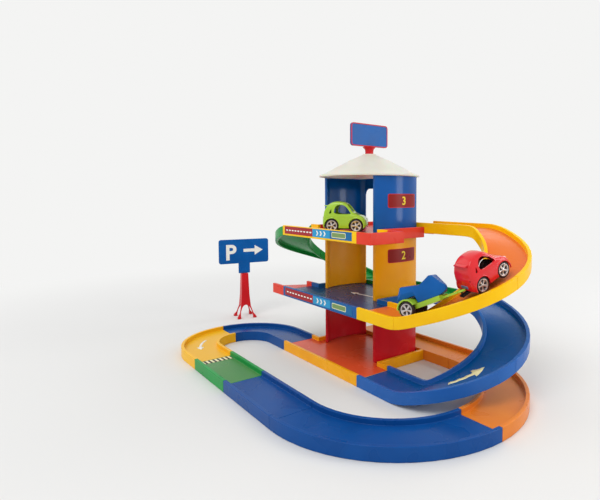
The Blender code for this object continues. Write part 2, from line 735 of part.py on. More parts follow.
def make_car(prefix, colour, place, towing=False):
    """A small car: body shell with open windows, base plate and two pairs of wheels."""
    body = add_object(f"{prefix}_body", loft(car_rings(0.0, 0.0)), colour)
    combine(body, add_guide(f"{prefix}_cabin", loft(car_rings(CAR_SHELL, 0.020))), "DIFFERENCE")
    side_window = [(-0.019, 0.0345), (-0.0175, 0.045), (-0.012, 0.051), (-0.001, 0.0505), (0.005, 0.046),
                   (0.012, 0.036), (0.012, 0.0345)]
    combine(body, add_guide(f"{prefix}_side_windows", across(side_window, 0.03)), "DIFFERENCE")
    windscreen = [(0.0030, 0.0600), (0.0030, 0.0500), (0.0120, 0.0385), (0.0240, 0.0385), (0.0240, 0.0600)]
    combine(body, add_guide(f"{prefix}_windscreen", across(windscreen, 0.0115)), "DIFFERENCE")
    rear_window = [(-0.0420, 0.0365), (-0.0300, 0.0365), (-0.0300, 0.0490), (-0.0420, 0.0490)]
    combine(body, add_guide(f"{prefix}_rear_window", across(rear_window, 0.0105)), "DIFFERENCE")
    ends = (("front", WHEEL_BASE / 2), ("rear", -WHEEL_BASE / 2))
    for end, x in ends:
        arch = disc_across(x, WHEEL_RADIUS, WHEEL_RADIUS + 0.0015, 0.03, 24)
        combine(body, add_guide(f"{prefix}_{end}_arch", arch), "DIFFERENCE")
    smooth(body)
    body.matrix_world = place

    spine = WHEEL_TRACK / 2 - WHEEL_WIDTH / 2 - 0.0008
    boxes = [((-0.034, -spine, 0.0055), (0.034, spine, 0.0160)),
             ((-0.007, -0.0182, 0.0090), (0.007, 0.0182, 0.0160))]
    if towing:
        boxes.append(((TOW_BALL[0] - 0.003, -0.004, 0.0055), (-0.034, 0.004, 0.0078)))
    base = add_object(f"{prefix}_base", blocks(boxes), "steel")
    for end, x in ends:
        bearing = disc_across(x, WHEEL_RADIUS, BEARING_RADIUS, 0.03, 24)
        combine(base, add_guide(f"{prefix}_{end}_bearing", bearing), "DIFFERENCE")
        make_wheels(f"{prefix}_{end}", place, x, WHEEL_TRACK, WHEEL_RADIUS)
    if towing:
        low = 0.0070
        ball = [(0, low), (0.0014, low), (0.0014, TOW_BALL[1] - TOW_BALL_RADIUS * 0.85)]
        for i in range(-3, 5):
            angle = math.radians(i * 18)
            ball.append((TOW_BALL_RADIUS * math.cos(angle), TOW_BALL[1] + TOW_BALL_RADIUS * math.sin(angle)))
        ball.append((0, TOW_BALL[1] + TOW_BALL_RADIUS))
        guide = add_guide("tow_ball", lathe(ball, 16))
        guide.location = (TOW_BALL[0], 0, 0)
        combine(base, guide, "UNION")
    smooth(base)
    base.matrix_world = place


def frame_of(origin, forward, across_right):
    """A placement with +X forward and +Z up, from a forward and a rightward direction."""
    forward = forward.normalized()
    up = across_right.cross(forward).normalized()
    left = up.cross(forward).normalized()
    turn = Matrix((forward, left, up)).transposed().to_4x4()
    return Matrix.Translation(origin) @ turn


def yellow_floor(travelled, offset=0.0):
    """A point on the yellow ramp's floor, offset to the left of its centre line."""
    run = RAMP_CENTRE_X - DECK_HALF
    x, y, z, heading = ramp_point(travelled, run, LEVEL_2, LEVEL_3 + RAMP_HOOK)
    return Vector((x - offset * math.sin(heading), y + offset * math.cos(heading), z + FLOOR_TOP))


def red_car_place():
    """Placement of the red car on the turn of the yellow ramp."""
    front = yellow_floor(RED_CAR_SEAT + WHEEL_BASE / 2)
    rear = yellow_floor(RED_CAR_SEAT - WHEEL_BASE / 2)
    forward = front - rear
    right = forward.cross(Vector((0, 0, 1)))
    place = frame_of((front + rear) / 2, forward, right)
    slope = math.atan2(forward.z, math.hypot(forward.x, forward.y))
    back = (RED_CAR_SEAT - RED_CAR_TRAVEL) / math.cos(slope)
    return place @ Matrix.Translation((-back, 0, RED_CAR_LIFT))


def trailer_place(ball):
    """Placement of the trailer on the ramp below the red car, its drawbar eye on the tow ball."""
    near = 0.02
    far = 0.16
    for _ in range(40):
        middle = (near + far) / 2
        axle = yellow_floor(middle) + Vector((0, 0, WHEEL_RADIUS + TRAILER_LIFT))
        if (ball - axle).length > DRAWBAR:
            near = middle
        else:
            far = middle
    forward = ball - axle
    flat = forward.cross(Vector((0, 0, 1))).normalized()
    return frame_of(axle, forward, flat) @ Matrix.Rotation(TRAILER_LEAN, 4, "X")


def make_trailer(place):
    """The trailer: a flat base with wheel covers and a drawbar, its load and its wheels."""
    half = TRAILER_HALF_WIDTH
    boxes = [((-0.019, -half, -0.0030), (0.056, half, 0.0045)),
             ((0.056, -0.0040, -0.0016), (DRAWBAR - 0.005, 0.0040, 0.0016))]
    base = add_object("trailer_base", blocks(boxes), "lime")
    cover = []
    for radius, angles in ((0.0165, range(15, 166, 15)), (0.0143, range(165, 14, -15))):
        cover += [(radius * math.cos(math.radians(a)), radius * math.sin(math.radians(a))) for a in angles]
    combine(base, add_guide("trailer_wheel_covers", across(cover, 0.0245)), "UNION")
    web = [(-0.0150, -0.002), (0.0150, -0.002), (0.0150, 0.0046), (0.0080, 0.0140), (-0.0080, 0.0140),
           (-0.0150, 0.0046)]
    combine(base, add_guide("trailer_web", across(web, half - 0.0003)), "UNION")
    eye = lathe([(0, -0.0016), (0.0065, -0.0016), (0.0065, 0.0016), (0, 0.0016)], 24)
    guide = add_guide("drawbar_eye", eye)
    guide.location = (DRAWBAR, 0, 0)
    combine(base, guide, "UNION")
    hole = lathe([(0, -0.01), (0.0037, -0.01), (0.0037, 0.01), (0, 0.01)], 20)
    guide = add_guide("drawbar_hole", hole)
    guide.location = (DRAWBAR, 0, 0)
    combine(base, guide, "DIFFERENCE")
    combine(base, add_guide("trailer_bearing", disc_across(0, 0, BEARING_RADIUS, 0.03, 24)), "DIFFERENCE")
    smooth(base)
    base.matrix_world = place

    sections = [(-0.0175, 0.0168, 0.0195, 0.0110),
                (-0.0150, 0.0168, 0.0250, 0.0135),
                (-0.0060, 0.0168, 0.0370, 0.0140),
                (0.0160, 0.0168, 0.0325, 0.0145),
                (0.0175, 0.0048, 0.0320, 0.0145),
                (0.0280, 0.0048, 0.0300, 0.0140),
                (0.0470, 0.0048, 0.0385, 0.0125),
                (0.0530, 0.0048, 0.0370, 0.0105),
                (0.0610, 0.0070, 0.0240, 0.0070),
                (0.0660, 0.0110, 0.0170, 0.0030)]
    rings = []
    for x, low, high, wide in sections:
        points = [(wide * 0.9, low), (wide, low + (high - low) * 0.45),
                  (wide * 0.8, high - 0.001), (wide * 0.6, high)]
        rings.append([(x, y, z) for y, z in points] + [(x, -y, z) for y, z in points[::-1]])
    load = add_object("trailer_load", loft(rings), "blue")
    smooth(load, 25)
    load.matrix_world = place
    make_wheels("trailer", place, 0.0, TRAILER_TRACK, 0.0)


def make_cars():
    """The green car on the top deck, the red car on the ramp and its trailer."""
    floor = LEVEL_3 + FLOOR_TOP + FLOOR_PLAY
    turn = Matrix.Rotation(GREEN_CAR_HEADING, 4, "Z")
    make_car("green_car", "lime", Matrix.Translation((*GREEN_CAR_PLACE, floor)) @ turn)
    place = red_car_place()
    make_car("red_car", "red", place, towing=True)
    ball = place @ Vector((TOW_BALL[0], 0, TOW_BALL[1]))
    make_trailer(trailer_place(ball))


def main():
    """Builds the garage."""
    clear_scene()
    make_level_tray("level1_tray", LEVEL_1, "amber")
    make_level_tray("level2_tray", LEVEL_2, "navy")
    make_level_3()
    make_run_off()
    make_walls()
    make_lintel()
    make_ramps()
    make_ground_track()
    make_roof()
    make_parking_sign()
    make_cars()


main()
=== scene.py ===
"""Dresses the toy parking garage: moulded finishes, printed markings, detailed vehicles, a plain studio."""
import json
import logging
import math
from dataclasses import dataclass, field
from enum import Enum

import bmesh
import bpy
from mathutils import Matrix, Vector


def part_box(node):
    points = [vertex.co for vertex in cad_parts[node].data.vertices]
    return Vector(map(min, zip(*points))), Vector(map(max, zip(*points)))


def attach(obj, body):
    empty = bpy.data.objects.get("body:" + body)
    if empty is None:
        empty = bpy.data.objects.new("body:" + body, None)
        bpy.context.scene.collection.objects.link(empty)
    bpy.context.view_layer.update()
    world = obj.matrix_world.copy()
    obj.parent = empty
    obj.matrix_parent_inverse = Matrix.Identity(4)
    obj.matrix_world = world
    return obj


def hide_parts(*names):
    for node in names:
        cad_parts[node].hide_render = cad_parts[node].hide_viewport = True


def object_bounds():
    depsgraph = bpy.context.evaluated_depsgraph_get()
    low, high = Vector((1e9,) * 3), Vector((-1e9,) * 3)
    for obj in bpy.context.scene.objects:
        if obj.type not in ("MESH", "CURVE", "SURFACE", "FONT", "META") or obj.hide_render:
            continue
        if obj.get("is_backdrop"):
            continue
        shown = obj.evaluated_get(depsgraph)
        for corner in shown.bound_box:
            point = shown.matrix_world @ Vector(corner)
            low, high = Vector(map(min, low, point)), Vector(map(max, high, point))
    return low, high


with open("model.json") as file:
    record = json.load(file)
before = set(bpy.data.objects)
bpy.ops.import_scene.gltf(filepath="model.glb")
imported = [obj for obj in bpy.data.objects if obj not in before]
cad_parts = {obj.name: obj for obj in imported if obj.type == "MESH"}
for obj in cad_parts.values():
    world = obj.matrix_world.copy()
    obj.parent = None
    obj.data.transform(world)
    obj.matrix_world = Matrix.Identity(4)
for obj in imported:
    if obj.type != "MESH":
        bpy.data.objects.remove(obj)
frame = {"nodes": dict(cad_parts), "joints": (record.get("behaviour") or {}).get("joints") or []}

LOG = logging.getLogger("garage")
MM = 0.001
# The track's lane: its middle line off the tower's middle, half the floor between the rims, floor height
LANE_MIDDLE = 92.5 * MM
FLOOR_HALF = 31.2 * MM
FLOOR_RISE = 12 * MM
# A face is floor when it lies this near to the floor's height and its normal points this far upwards
FLOOR_SLACK = 0.4 * MM
FLOOR_UPWARD = 0.75
# Where the ramps' straight pieces end and their half turns begin
RAMP_TURN_X = 216 * MM
# The track's outside width, its rims' width, the outside radius of a turn and the second storey's height
LANE_WIDTH = 75 * MM
RIM_WIDTH = 6 * MM
TURN_RADIUS = 130 * MM
STOREY_2 = 116 * MM
# Markings start this far above their floor before they are laid down onto it
ABOVE = 10 * MM
# A font's size for each unit of its capitals' height
FONT_SIZE = 1.45
# The sides and ends of a vehicle, with their signs along its axes
SIDES = (("left", 1), ("right", -1))
ENDS = (("front", 1), ("rear", -1))

Point2 = tuple[float, float]
Point3 = tuple[float, float, float]


def linear(code: str) -> tuple[float, float, float, float]:
    """Turns an sRGB hex colour into linear values.

    Args:
        code: six hex digits after a hash sign.
    Returns:
        Linear red, green and blue, and an alpha of 1.
    """
    values = []
    for start in (1, 3, 5):
        value = int(code[start:start + 2], 16) / 255
        values.append(value / 12.92 if value <= 0.04045 else ((value + 0.055) / 1.055) ** 2.4)
    return values[0], values[1], values[2], 1.0


def add_node(tree: bpy.types.NodeTree, kind: str, settings: dict | None = None,
             links: dict | None = None) -> bpy.types.Node:
    """Adds one node to a tree.

    Args:
        tree: the material's node tree.
        kind: the node's type.
        settings: input values and node properties by name.
        links: sockets that feed the node's inputs, by input name.
    Returns:
        The new node.
    """
    node = tree.nodes.new(kind)
    for name, value in (settings or {}).items():
        if name in node.inputs:
            node.inputs[name].default_value = value
        else:
            setattr(node, name, value)
    for name, socket in (links or {}).items():
        tree.links.new(socket, node.inputs[name])
    return node


def new_object(name: str, data: bpy.types.ID) -> bpy.types.Object:
    """Puts an object into the scene.

    Args:
        name: its name.
        data: the mesh, lamp, curve or camera that it carries.
    Returns:
        The object.
    """
    made = bpy.data.objects.new(name, data)
    bpy.context.scene.collection.objects.link(made)
    return made


def mesh_of(name: str, shape: bmesh.types.BMesh) -> bpy.types.Mesh:
    """Turns a bmesh into a mesh with its faces outwards.

    Args:
        name: the mesh's name.
        shape: the bmesh, which is freed.
    Returns:
        The mesh.
    """
    bmesh.ops.recalc_face_normals(shape, faces=shape.faces)
    mesh = bpy.data.meshes.new(name)
    shape.to_mesh(mesh)
    shape.free()
    return mesh


@dataclass(frozen=True)
class Finish:
    """A surface: what it is made of, its colours, its gloss and the grain that its making leaves."""

    name: str
    colour: str
    shade: str
    roughness: float = 0.3
    roughness_spread: float = 0.08
    grain_mm: float = 0.9
    grain_depth_mm: float = 0.012
    flow_mm: float = 55.0
    metallic: float = 0.0
    coat: float = 0.0
    transmission: float = 0.0
    subsurface: float = 0.0
    specular: float = 0.16
    # floor_colour: the road floor between the rims, partly its own tone and partly painted shade and painted
    # reflection
    floor_colour: str = ""
    floor_z: float = 0.0
    turn_x: float = 0.0

    def material(self) -> bpy.types.Material:
        """Makes the node material, once.

        Returns:
            The material.
        """
        found = bpy.data.materials.get(self.name)
        if found:
            return found
        made = bpy.data.materials.new(self.name)
        made.use_nodes = True
        tree = made.node_tree
        tree.nodes.clear()
        place = add_node(tree, "ShaderNodeTexCoord").outputs["Object"]
        flow = add_node(tree, "ShaderNodeTexNoise", {"Scale": 1 / (self.flow_mm * MM), "Detail": 2.0},
                        {"Vector": place})
        tint = add_node(tree, "ShaderNodeValToRGB", None, {"Fac": flow.outputs["Fac"]})
        tint.color_ramp.elements[0].position = 0.3
        tint.color_ramp.elements[0].color = linear(self.shade)
        tint.color_ramp.elements[1].position = 0.62
        tint.color_ramp.elements[1].color = linear(self.colour)
        colour = tint.outputs["Color"]
        # The road floor takes floor_colour: partly its own tone, partly painted shade and painted reflection
        if self.floor_colour:
            colour = self.floor_mix(tree, place, colour)
        grain = add_node(tree, "ShaderNodeTexNoise", {"Scale": 1 / (self.grain_mm * MM), "Detail": 3.0},
                         {"Vector": place})
        spread = self.roughness_spread / 2
        gloss = add_node(tree, "ShaderNodeMapRange",
                         {"From Min": 0.3, "From Max": 0.7, "To Min": self.roughness - spread,
                          "To Max": self.roughness + spread}, {"Value": flow.outputs["Fac"]})
        bump = add_node(tree, "ShaderNodeBump", {"Strength": 0.35, "Distance": self.grain_depth_mm * MM},
                        {"Height": grain.outputs["Fac"]})
        shader = add_node(tree, "ShaderNodeBsdfPrincipled",
                          {"Metallic": self.metallic, "Coat Weight": self.coat, "Coat Roughness": 0.08,
                           "Transmission Weight": self.transmission, "Subsurface Weight": self.subsurface,
                           "Subsurface Scale": 0.004, "Specular IOR Level": self.specular},
                          {"Base Color": colour, "Roughness": gloss.outputs["Result"],
                           "Normal": bump.outputs["Normal"]})
        add_node(tree, "ShaderNodeOutputMaterial", None, {"Surface": shader.outputs["BSDF"]})
        made.diffuse_color = linear(self.colour)
        return made

    def floor_mix(self, tree: bpy.types.NodeTree, place: bpy.types.NodeSocket,
                  colour: bpy.types.NodeSocket) -> bpy.types.NodeSocket:
        """Gives the road surface between the rims a colour that is partly its own tone and partly painted
        shade and painted reflection.

        Args:
            tree: the material's node tree.
            place: the object coordinates.
            colour: the colour of the rims.
        Returns:
            The mixed colour.
        """
        split = add_node(tree, "ShaderNodeSeparateXYZ", None, {"Vector": place})
        if self.turn_x:
            from_turn = self.step(tree, "SUBTRACT", split.outputs["X"], self.turn_x)
            ahead = self.step(tree, "MAXIMUM", from_turn, 0.0)
            squares = self.step(tree, "ADD", self.step(tree, "POWER", ahead, 2.0),
                               self.step(tree, "MULTIPLY", split.outputs["Y"], split.outputs["Y"]))
            reach = self.step(tree, "POWER", squares, 0.5)
            aside = self.step(tree, "ABSOLUTE", self.step(tree, "SUBTRACT", reach, LANE_MIDDLE), 0.0)
            inside = self.step(tree, "LESS_THAN", aside, FLOOR_HALF)
        else:
            above = self.step(tree, "GREATER_THAN", split.outputs["Z"], self.floor_z - FLOOR_SLACK)
            below = self.step(tree, "LESS_THAN", split.outputs["Z"], self.floor_z + FLOOR_SLACK)
            inside = self.step(tree, "MULTIPLY", above, below)
        normal = add_node(tree, "ShaderNodeNewGeometry").outputs["Normal"]
        upward = add_node(tree, "ShaderNodeSeparateXYZ", None, {"Vector": normal}).outputs["Z"]
        shaded_road_mask = self.step(tree, "MULTIPLY", inside, self.step(tree, "GREATER_THAN", upward, FLOOR_UPWARD))
        mixed = add_node(tree, "ShaderNodeMixRGB", {"Color2": linear(self.floor_colour)},
                         {"Fac": shaded_road_mask, "Color1": colour})
        return mixed.outputs["Color"]

    def step(self, tree: bpy.types.NodeTree, operation: str, first: bpy.types.NodeSocket,
            second: bpy.types.NodeSocket | float) -> bpy.types.NodeSocket:
        """Works out one step of arithmetic between nodes.

        Args:
            tree: the material's node tree.
            operation: the Math node's operation.
            first: the first value.
            second: the second value, a socket or a number.
        Returns:
            The result.
        """
        made = add_node(tree, "ShaderNodeMath", {"operation": operation})
        tree.links.new(first, made.inputs[0])
        if isinstance(second, bpy.types.NodeSocket):
            tree.links.new(second, made.inputs[1])
        else:
            made.inputs[1].default_value = second
        return made.outputs[0]


def printed_film(name: str, colour: str, shade: str, roughness: float = 0.35) -> Finish:
    """Printed film: almost no grain.

    Args:
        name: the print's colour in words.
        colour: its colour.
        shade: its colour in the darker flow clouds.
        roughness: its roughness.
    Returns:
        The finish.
    """
    return Finish("printed_film_" + name, colour, shade, roughness, grain_depth_mm=0.004)


class Plastics(Enum):
    """Every finish of the toy, each named for its material and process."""

    # Glossy injection-moulded ABS: highlights are clear but soft-edged, with faint flow clouds
    # AMBER's orange floor colour is partly the road's own tone and partly painted shade between the rims
    AMBER = Finish("moulded_abs_amber", "#FBB016", "#F6A510", 0.26, floor_colour="#E8562E",
                   floor_z=FLOOR_RISE)
    # NAVY's darker floor colour is partly the road's own tone and partly painted shade between the rims
    NAVY = Finish("moulded_abs_navy", "#1A5FA5", "#175898", 0.28, floor_colour="#173F70",
                  floor_z=STOREY_2 + FLOOR_RISE)
    WALL_RED = Finish("moulded_abs_wall_red", "#D2202A", "#C61C26", 0.24)
    WALL_BLUE = Finish("moulded_abs_wall_blue", "#0055A4", "#004E99", 0.16, coat=0.15)
    CORAL = Finish("moulded_abs_coral", "#E8432E", "#DF3B28", 0.3)
    # Polypropylene track: a little softer in its gloss than ABS
    YELLOW = Finish("moulded_polypropylene_yellow", "#FDCB0A", "#F9C206", 0.3)
    # RAMP_YELLOW's orange floor colour is partly its own tone and partly painted shade and painted reflection
    RAMP_YELLOW = Finish("moulded_polypropylene_ramp_yellow", "#FDC80A", "#F8BC08", 0.3,
                         floor_colour="#E5742B", turn_x=RAMP_TURN_X)
    # TURN_YELLOW's slightly darker floor colour is partly its own tone and partly painted shade
    TURN_YELLOW = Finish("moulded_polypropylene_turn_yellow", "#F9C01C", "#F3B417", 0.32,
                         floor_colour="#EEB71C", floor_z=FLOOR_RISE)
    BLUE = Finish("moulded_polypropylene_blue", "#0B4C94", "#0A458A", 0.28)
    # RAMP_BLUE's darker floor colour is partly its own tone and partly painted shade
    RAMP_BLUE = Finish("moulded_polypropylene_ramp_blue", "#2B66B4", "#2760AC", 0.28,
                       floor_colour="#00529B", turn_x=RAMP_TURN_X)
    GREEN = Finish("moulded_polypropylene_green", "#169A45", "#128E3E", 0.3)
    # ROAD_GREEN's dull floor colour is partly a matt road tone and partly a painted sheen
    ROAD_GREEN = Finish("moulded_polypropylene_road_green", "#169A45", "#128E3E", 0.3,
                        floor_colour="#4E8B4B", floor_z=FLOOR_RISE)
    ORANGE = Finish("moulded_polypropylene_orange", "#E58429", "#DD7822", 0.3)
    # Milky low-density polyethylene: light passes in, so that the cone has no hard shade
    MILK = Finish("milky_polyethylene", "#EFECDF", "#E8E4D4", 0.36, transmission=0.22, subsurface=0.35)
    SIGN_RED = Finish("moulded_abs_sign_red", "#D2232A", "#C51E25", 0.26)
    SIGN_BLUE = Finish("moulded_abs_sign_blue", "#0A5CA8", "#08549C", 0.26)
    LIME = Finish("moulded_abs_lime", "#A3CB38", "#98C231", 0.2, coat=0.4)
    CAR_RED = Finish("moulded_abs_car_red", "#E3242B", "#D81E25", 0.18, coat=0.5)
    LOAD_BLUE = Finish("moulded_abs_load_blue", "#0D5CA8", "#0B549B", 0.24)
    # Matt moulded polypropylene of base plates, with a coarse spark-eroded grain
    CHASSIS = Finish("spark_grained_polypropylene_black", "#2C2E32", "#26282B", 0.55, grain_depth_mm=0.03)
    # Soft PVC tyre: dull and dark, warm in tone
    TYRE = Finish("moulded_pvc_tyre", "#3A3030", "#322A2A", 0.6)
    # Silver lacquer sprayed over ABS hubs: metallic but not a mirror
    HUB = Finish("silver_lacquered_abs", "#D3CCCB", "#C4BDBC", 0.3, metallic=0.75, grain_mm=0.35)
    # Dark discs behind the spokes: painted shade in the hub's hollow
    HUB_WELL = Finish("shaded_abs_hub_well", "#4A4042", "#40383A", 0.5)
    # Drawn steel wire: narrow bright lines along the axle
    STEEL_WIRE = Finish("drawn_steel_wire", "#9EA0A4", "#94969A", 0.22, metallic=1.0, grain_mm=0.2)
    # Printed film: flat colour under a glossy laminate
    PRINT_WHITE = printed_film("white", "#F4F3EC", "#EFEEE6")
    PRINT_CREAM = printed_film("cream", "#F3EFC4", "#EDE8B8")
    PRINT_BLACK = printed_film("black", "#17150F", "#131109")
    PRINT_MAROON = printed_film("maroon", "#A8242C", "#9C2028", 0.32)
    PRINT_SKY = printed_film("sky", "#2E9FD2", "#2493C8", 0.32)
    PRINT_TEAL = printed_film("teal", "#1B6FA6", "#18669B", 0.32)
    PRINT_SAGE = printed_film("sage", "#7F9C62", "#76935A", 0.32)
    PRINT_PLATE = printed_film("plate_red", "#8E1B17", "#841713", 0.3)
    PRINT_PLATE_EDGE = printed_film("plate_edge", "#C8232B", "#BD1F27", 0.3)
    PRINT_YELLOW = printed_film("yellow", "#F4DE3C", "#EFD733")
    # Clear-coated lamp paint
    LAMP_WHITE = Finish("painted_lamp_white", "#F1EFE6", "#E9E6DB", 0.15, coat=0.6)
    LAMP_RED = Finish("painted_lamp_red", "#9E1218", "#920F15", 0.15, coat=0.6)
    PLATE_GREY = Finish("painted_plate_grey", "#6E7BA0", "#66739A", 0.3)


def shade_group() -> bpy.types.NodeTree:
    """Makes the modifier group that shades every face smooth, once.

    Returns:
        The group.
    """
    found = bpy.data.node_groups.get("shade_smooth")
    if found:
        return found
    group = bpy.data.node_groups.new("shade_smooth", "GeometryNodeTree")
    group.interface.new_socket("Geometry", in_out="INPUT", socket_type="NodeSocketGeometry")
    group.interface.new_socket("Geometry", in_out="OUTPUT", socket_type="NodeSocketGeometry")
    source = group.nodes.new("NodeGroupInput")
    shade = add_node(group, "GeometryNodeSetShadeSmooth", None, {"Geometry": source.outputs["Geometry"]})
    add_node(group, "NodeGroupOutput", None, {"Geometry": shade.outputs["Geometry"]})
    return group


def round_edges(piece: bpy.types.Object, width: float, degrees: float = 32.0, segments: int = 3) -> None:
    """Rounds a piece's edges as a mould does, and shades it from its large faces.

    Args:
        piece: the object.
        width: the rounding's width in metres.
        degrees: edges sharper than this are rounded.
        segments: faces across the rounding.
    """
    weld = piece.modifiers.new("weld", "WELD")
    weld.merge_threshold = 0.00001
    flat = piece.modifiers.new("merge_flat_faces", "DECIMATE")
    flat.decimate_type = "DISSOLVE"
    flat.angle_limit = math.radians(0.4)
    shade = piece.modifiers.new("shade_smooth", "NODES")
    shade.node_group = shade_group()
    if width > 0:
        bevel = piece.modifiers.new("mould_rounding", "BEVEL")
        bevel.width = width
        bevel.segments = segments
        bevel.limit_method = "ANGLE"
        bevel.angle_limit = math.radians(degrees)
        bevel.use_clamp_overlap = True
    normals = piece.modifiers.new("face_normals", "WEIGHTED_NORMAL")
    normals.mode = "FACE_AREA_WITH_ANGLE"
    normals.weight = 50


def dress(node: str, finish: Plastics, rounding_mm: float, degrees: float = 32.0) -> None:
    """Gives a CAD node its finish and its rounded edges.

    Args:
        node: the node's name.
        finish: what it is moulded from.
        rounding_mm: width of the rounding of its edges.
        degrees: edges sharper than this are rounded.
    """
    part = frame["nodes"][node]
    part.data.materials.clear()
    part.data.materials.append(finish.value.material())
    round_edges(part, rounding_mm * MM, degrees)
    LOG.info("dressed %s in %s", node, finish.value.name)


def add_piece(name: str, shape: bmesh.types.BMesh, finish: Plastics, body: str = "garage",
              place: Matrix | None = None, smooth_degrees: float = 35.0) -> bpy.types.Object:
    """Turns a bmesh into a piece that rides on a body.

    Args:
        name: the piece's name.
        shape: its mesh, which is freed.
        finish: what it is made of.
        body: the CAD body that it moves with.
        place: where its local frame stands.
        smooth_degrees: edges sharper than this stay sharp.
    Returns:
        The new object.
    """
    mesh = mesh_of(name, shape)
    mesh.shade_smooth()
    mesh.set_sharp_from_angle(angle=math.radians(smooth_degrees))
    return add_mesh_piece(name, mesh, [finish], body, place)


def add_mesh_piece(name: str, mesh: bpy.types.Mesh, finishes: list[Plastics], body: str,
                   place: Matrix | None = None) -> bpy.types.Object:
    """Places a finished mesh as a piece that rides on a body.

    Args:
        name: the piece's name.
        mesh: its mesh, which other pieces may share.
        finishes: its materials.
        body: the CAD body that it moves with.
        place: where its local frame stands.
    Returns:
        The new object.
    """
    if not mesh.materials:
        for finish in finishes:
            mesh.materials.append(finish.value.material())
    piece = new_object(name, mesh)
    if place is not None:
        piece.matrix_world = place
    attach(piece, body)
    LOG.info("made %s on %s", name, body)
    return piece


def close_rings(shape: bmesh.types.BMesh, rings: list[list[bmesh.types.BMVert]],
                round_again: bool = False) -> None:
    """Skins rings of vertices and closes both ends.

    Args:
        shape: the mesh.
        rings: rings with the same number of vertices.
        round_again: whether the last ring is joined to the first instead of closing the ends.
    """
    following_rings = rings[1:] + rings[:1] if round_again else rings[1:]
    for ring, following in zip(rings, following_rings):
        for i, _ in enumerate(ring):
            j = (i + 1) % len(ring)
            shape.faces.new((ring[i], ring[j], following[j], following[i]))
    if not round_again:
        shape.faces.new(rings[0][::-1])
        shape.faces.new(rings[-1])


def skin(rings: list[list[Point3]], round_again: bool = False) -> bmesh.types.BMesh:
    """A form whose faces run along rings of points.

    Args:
        rings: rings with the same number of points.
        round_again: whether the last ring is joined to the first instead of closing the ends.
    Returns:
        The mesh.
    """
    shape = bmesh.new()
    close_rings(shape, [[shape.verts.new(point) for point in ring] for ring in rings], round_again)
    return shape


def prism(outline: list[Point2], low: float, high: float) -> bmesh.types.BMesh:
    """A straight prism from an outline in the local x-y plane.

    Args:
        outline: its corners in order.
        low: height of its lower face.
        high: height of its upper face.
    Returns:
        The mesh.
    """
    return skin([[(x, y, z) for x, y in outline] for z in (low, high)])


def rounded_box_outline(width: float, height: float, corner: float, steps: int = 6) -> list[Point2]:
    """Outline of a rectangle with round corners, about its middle.

    Args:
        width: its size along x.
        height: its size along y.
        corner: the corners' radius.
        steps: points on each corner.
    Returns:
        The outline's points.
    """
    points = []
    for first, sx, sy in ((0, 1, 1), (90, -1, 1), (180, -1, -1), (270, 1, -1)):
        for i in range(steps + 1):
            angle = math.radians(first + 90 * i / steps)
            points.append((sx * (width / 2 - corner) + corner * math.cos(angle),
                           sy * (height / 2 - corner) + corner * math.sin(angle)))
    return points


def letter_mesh(text: str, height: float, thickness: float, weight: float) -> bmesh.types.BMesh:
    """A plain letter or number as a solid about its middle.

    Args:
        text: the character.
        height: its height.
        thickness: how far it stands up.
        weight: how much its strokes are thickened.
    Returns:
        The mesh, flat in x-y.
    """
    curve = bpy.data.curves.new("letter_" + text, "FONT")
    curve.body = text
    curve.size = height * FONT_SIZE
    curve.offset = weight
    curve.resolution_u = 6
    holder = new_object("letter_" + text, curve)
    bpy.context.view_layer.update()
    flat = bpy.data.meshes.new_from_object(holder.evaluated_get(bpy.context.evaluated_depsgraph_get()))
    bpy.data.objects.remove(holder)
    bpy.data.curves.remove(curve)
    shape = bmesh.new()
    shape.from_mesh(flat)
    bpy.data.meshes.remove(flat)
    bmesh.ops.remove_doubles(shape, verts=shape.verts, dist=0.000001)
    raised = bmesh.ops.extrude_face_region(shape, geom=list(shape.faces))
    moved = [item for item in raised["geom"] if isinstance(item, bmesh.types.BMVert)]
    bmesh.ops.translate(shape, verts=moved, vec=(0, 0, thickness))
    low = Vector([min(v.co[axis] for v in shape.verts) for axis in range(3)])
    high = Vector([max(v.co[axis] for v in shape.verts) for axis in range(3)])
    middle = (low + high) / 2
    bmesh.ops.translate(shape, verts=shape.verts, vec=(-middle.x, -middle.y, 0))
    return shape


def along(points: list[tuple[float, ...]], steps: int) -> list[tuple[float, ...]]:
    """A smooth curve through points, as evenly many points on each stretch.

    Args:
        points: what the curve passes through.
        steps: points for each stretch.
    Returns:
        The curve's points.
    """
    ends = [points[0], *points, points[-1]]
    curve = []
    for a, b, c, d in zip(ends, ends[1:], ends[2:], ends[3:]):
        for i in range(steps):
            t = i / steps
            curve.append(tuple(0.5 * (2 * q + (r - p) * t + (2 * p - 5 * q + 4 * r - s) * t * t
                                      + (3 * q - p - 3 * r + s) * t ** 3) for p, q, r, s in zip(a, b, c, d)))
    curve.append(points[-1])
    return curve


def arrow_strip(path: list[Point2], width: float, head_width: float, head_length: float,
                height: float) -> bmesh.types.BMesh:
    """A flat arrow as a strip of faces along a path, its tip at the path's end.

    Args:
        path: its middle line in plan.
        width: the shaft's width.
        head_width: the head's width.
        head_length: the head's length.
        height: where it lies.
    Returns:
        The mesh, one face thick.
    """
    total = sum(math.dist(a, b) for a, b in zip(path, path[1:]))
    shape = bmesh.new()
    rows = []
    travelled = 0.0
    for i, (x, y) in enumerate(path):
        if i:
            travelled += math.dist(path[i - 1], path[i])
        near, far = path[max(i - 1, 0)], path[min(i + 1, len(path) - 1)]
        length = math.dist(near, far)
        side = (-(far[1] - near[1]) / length, (far[0] - near[0]) / length)
        left = total - travelled
        halves = [width / 2] if left > head_length else [head_width / 2 * left / head_length]
        if left > head_length and i + 1 < len(path):
            following = left - math.dist(path[i], path[i + 1])
            if following <= head_length:
                halves.append(head_width / 2)
        for half in halves:
            half = max(half, 0.0002)
            rows.append([shape.verts.new((x + side[0] * s * half, y + side[1] * s * half, height))
                         for s in (-1, 0, 1)])
    for row, following in zip(rows, rows[1:]):
        for i in range(2):
            shape.faces.new((row[i], row[i + 1], following[i + 1], following[i]))
    return shape


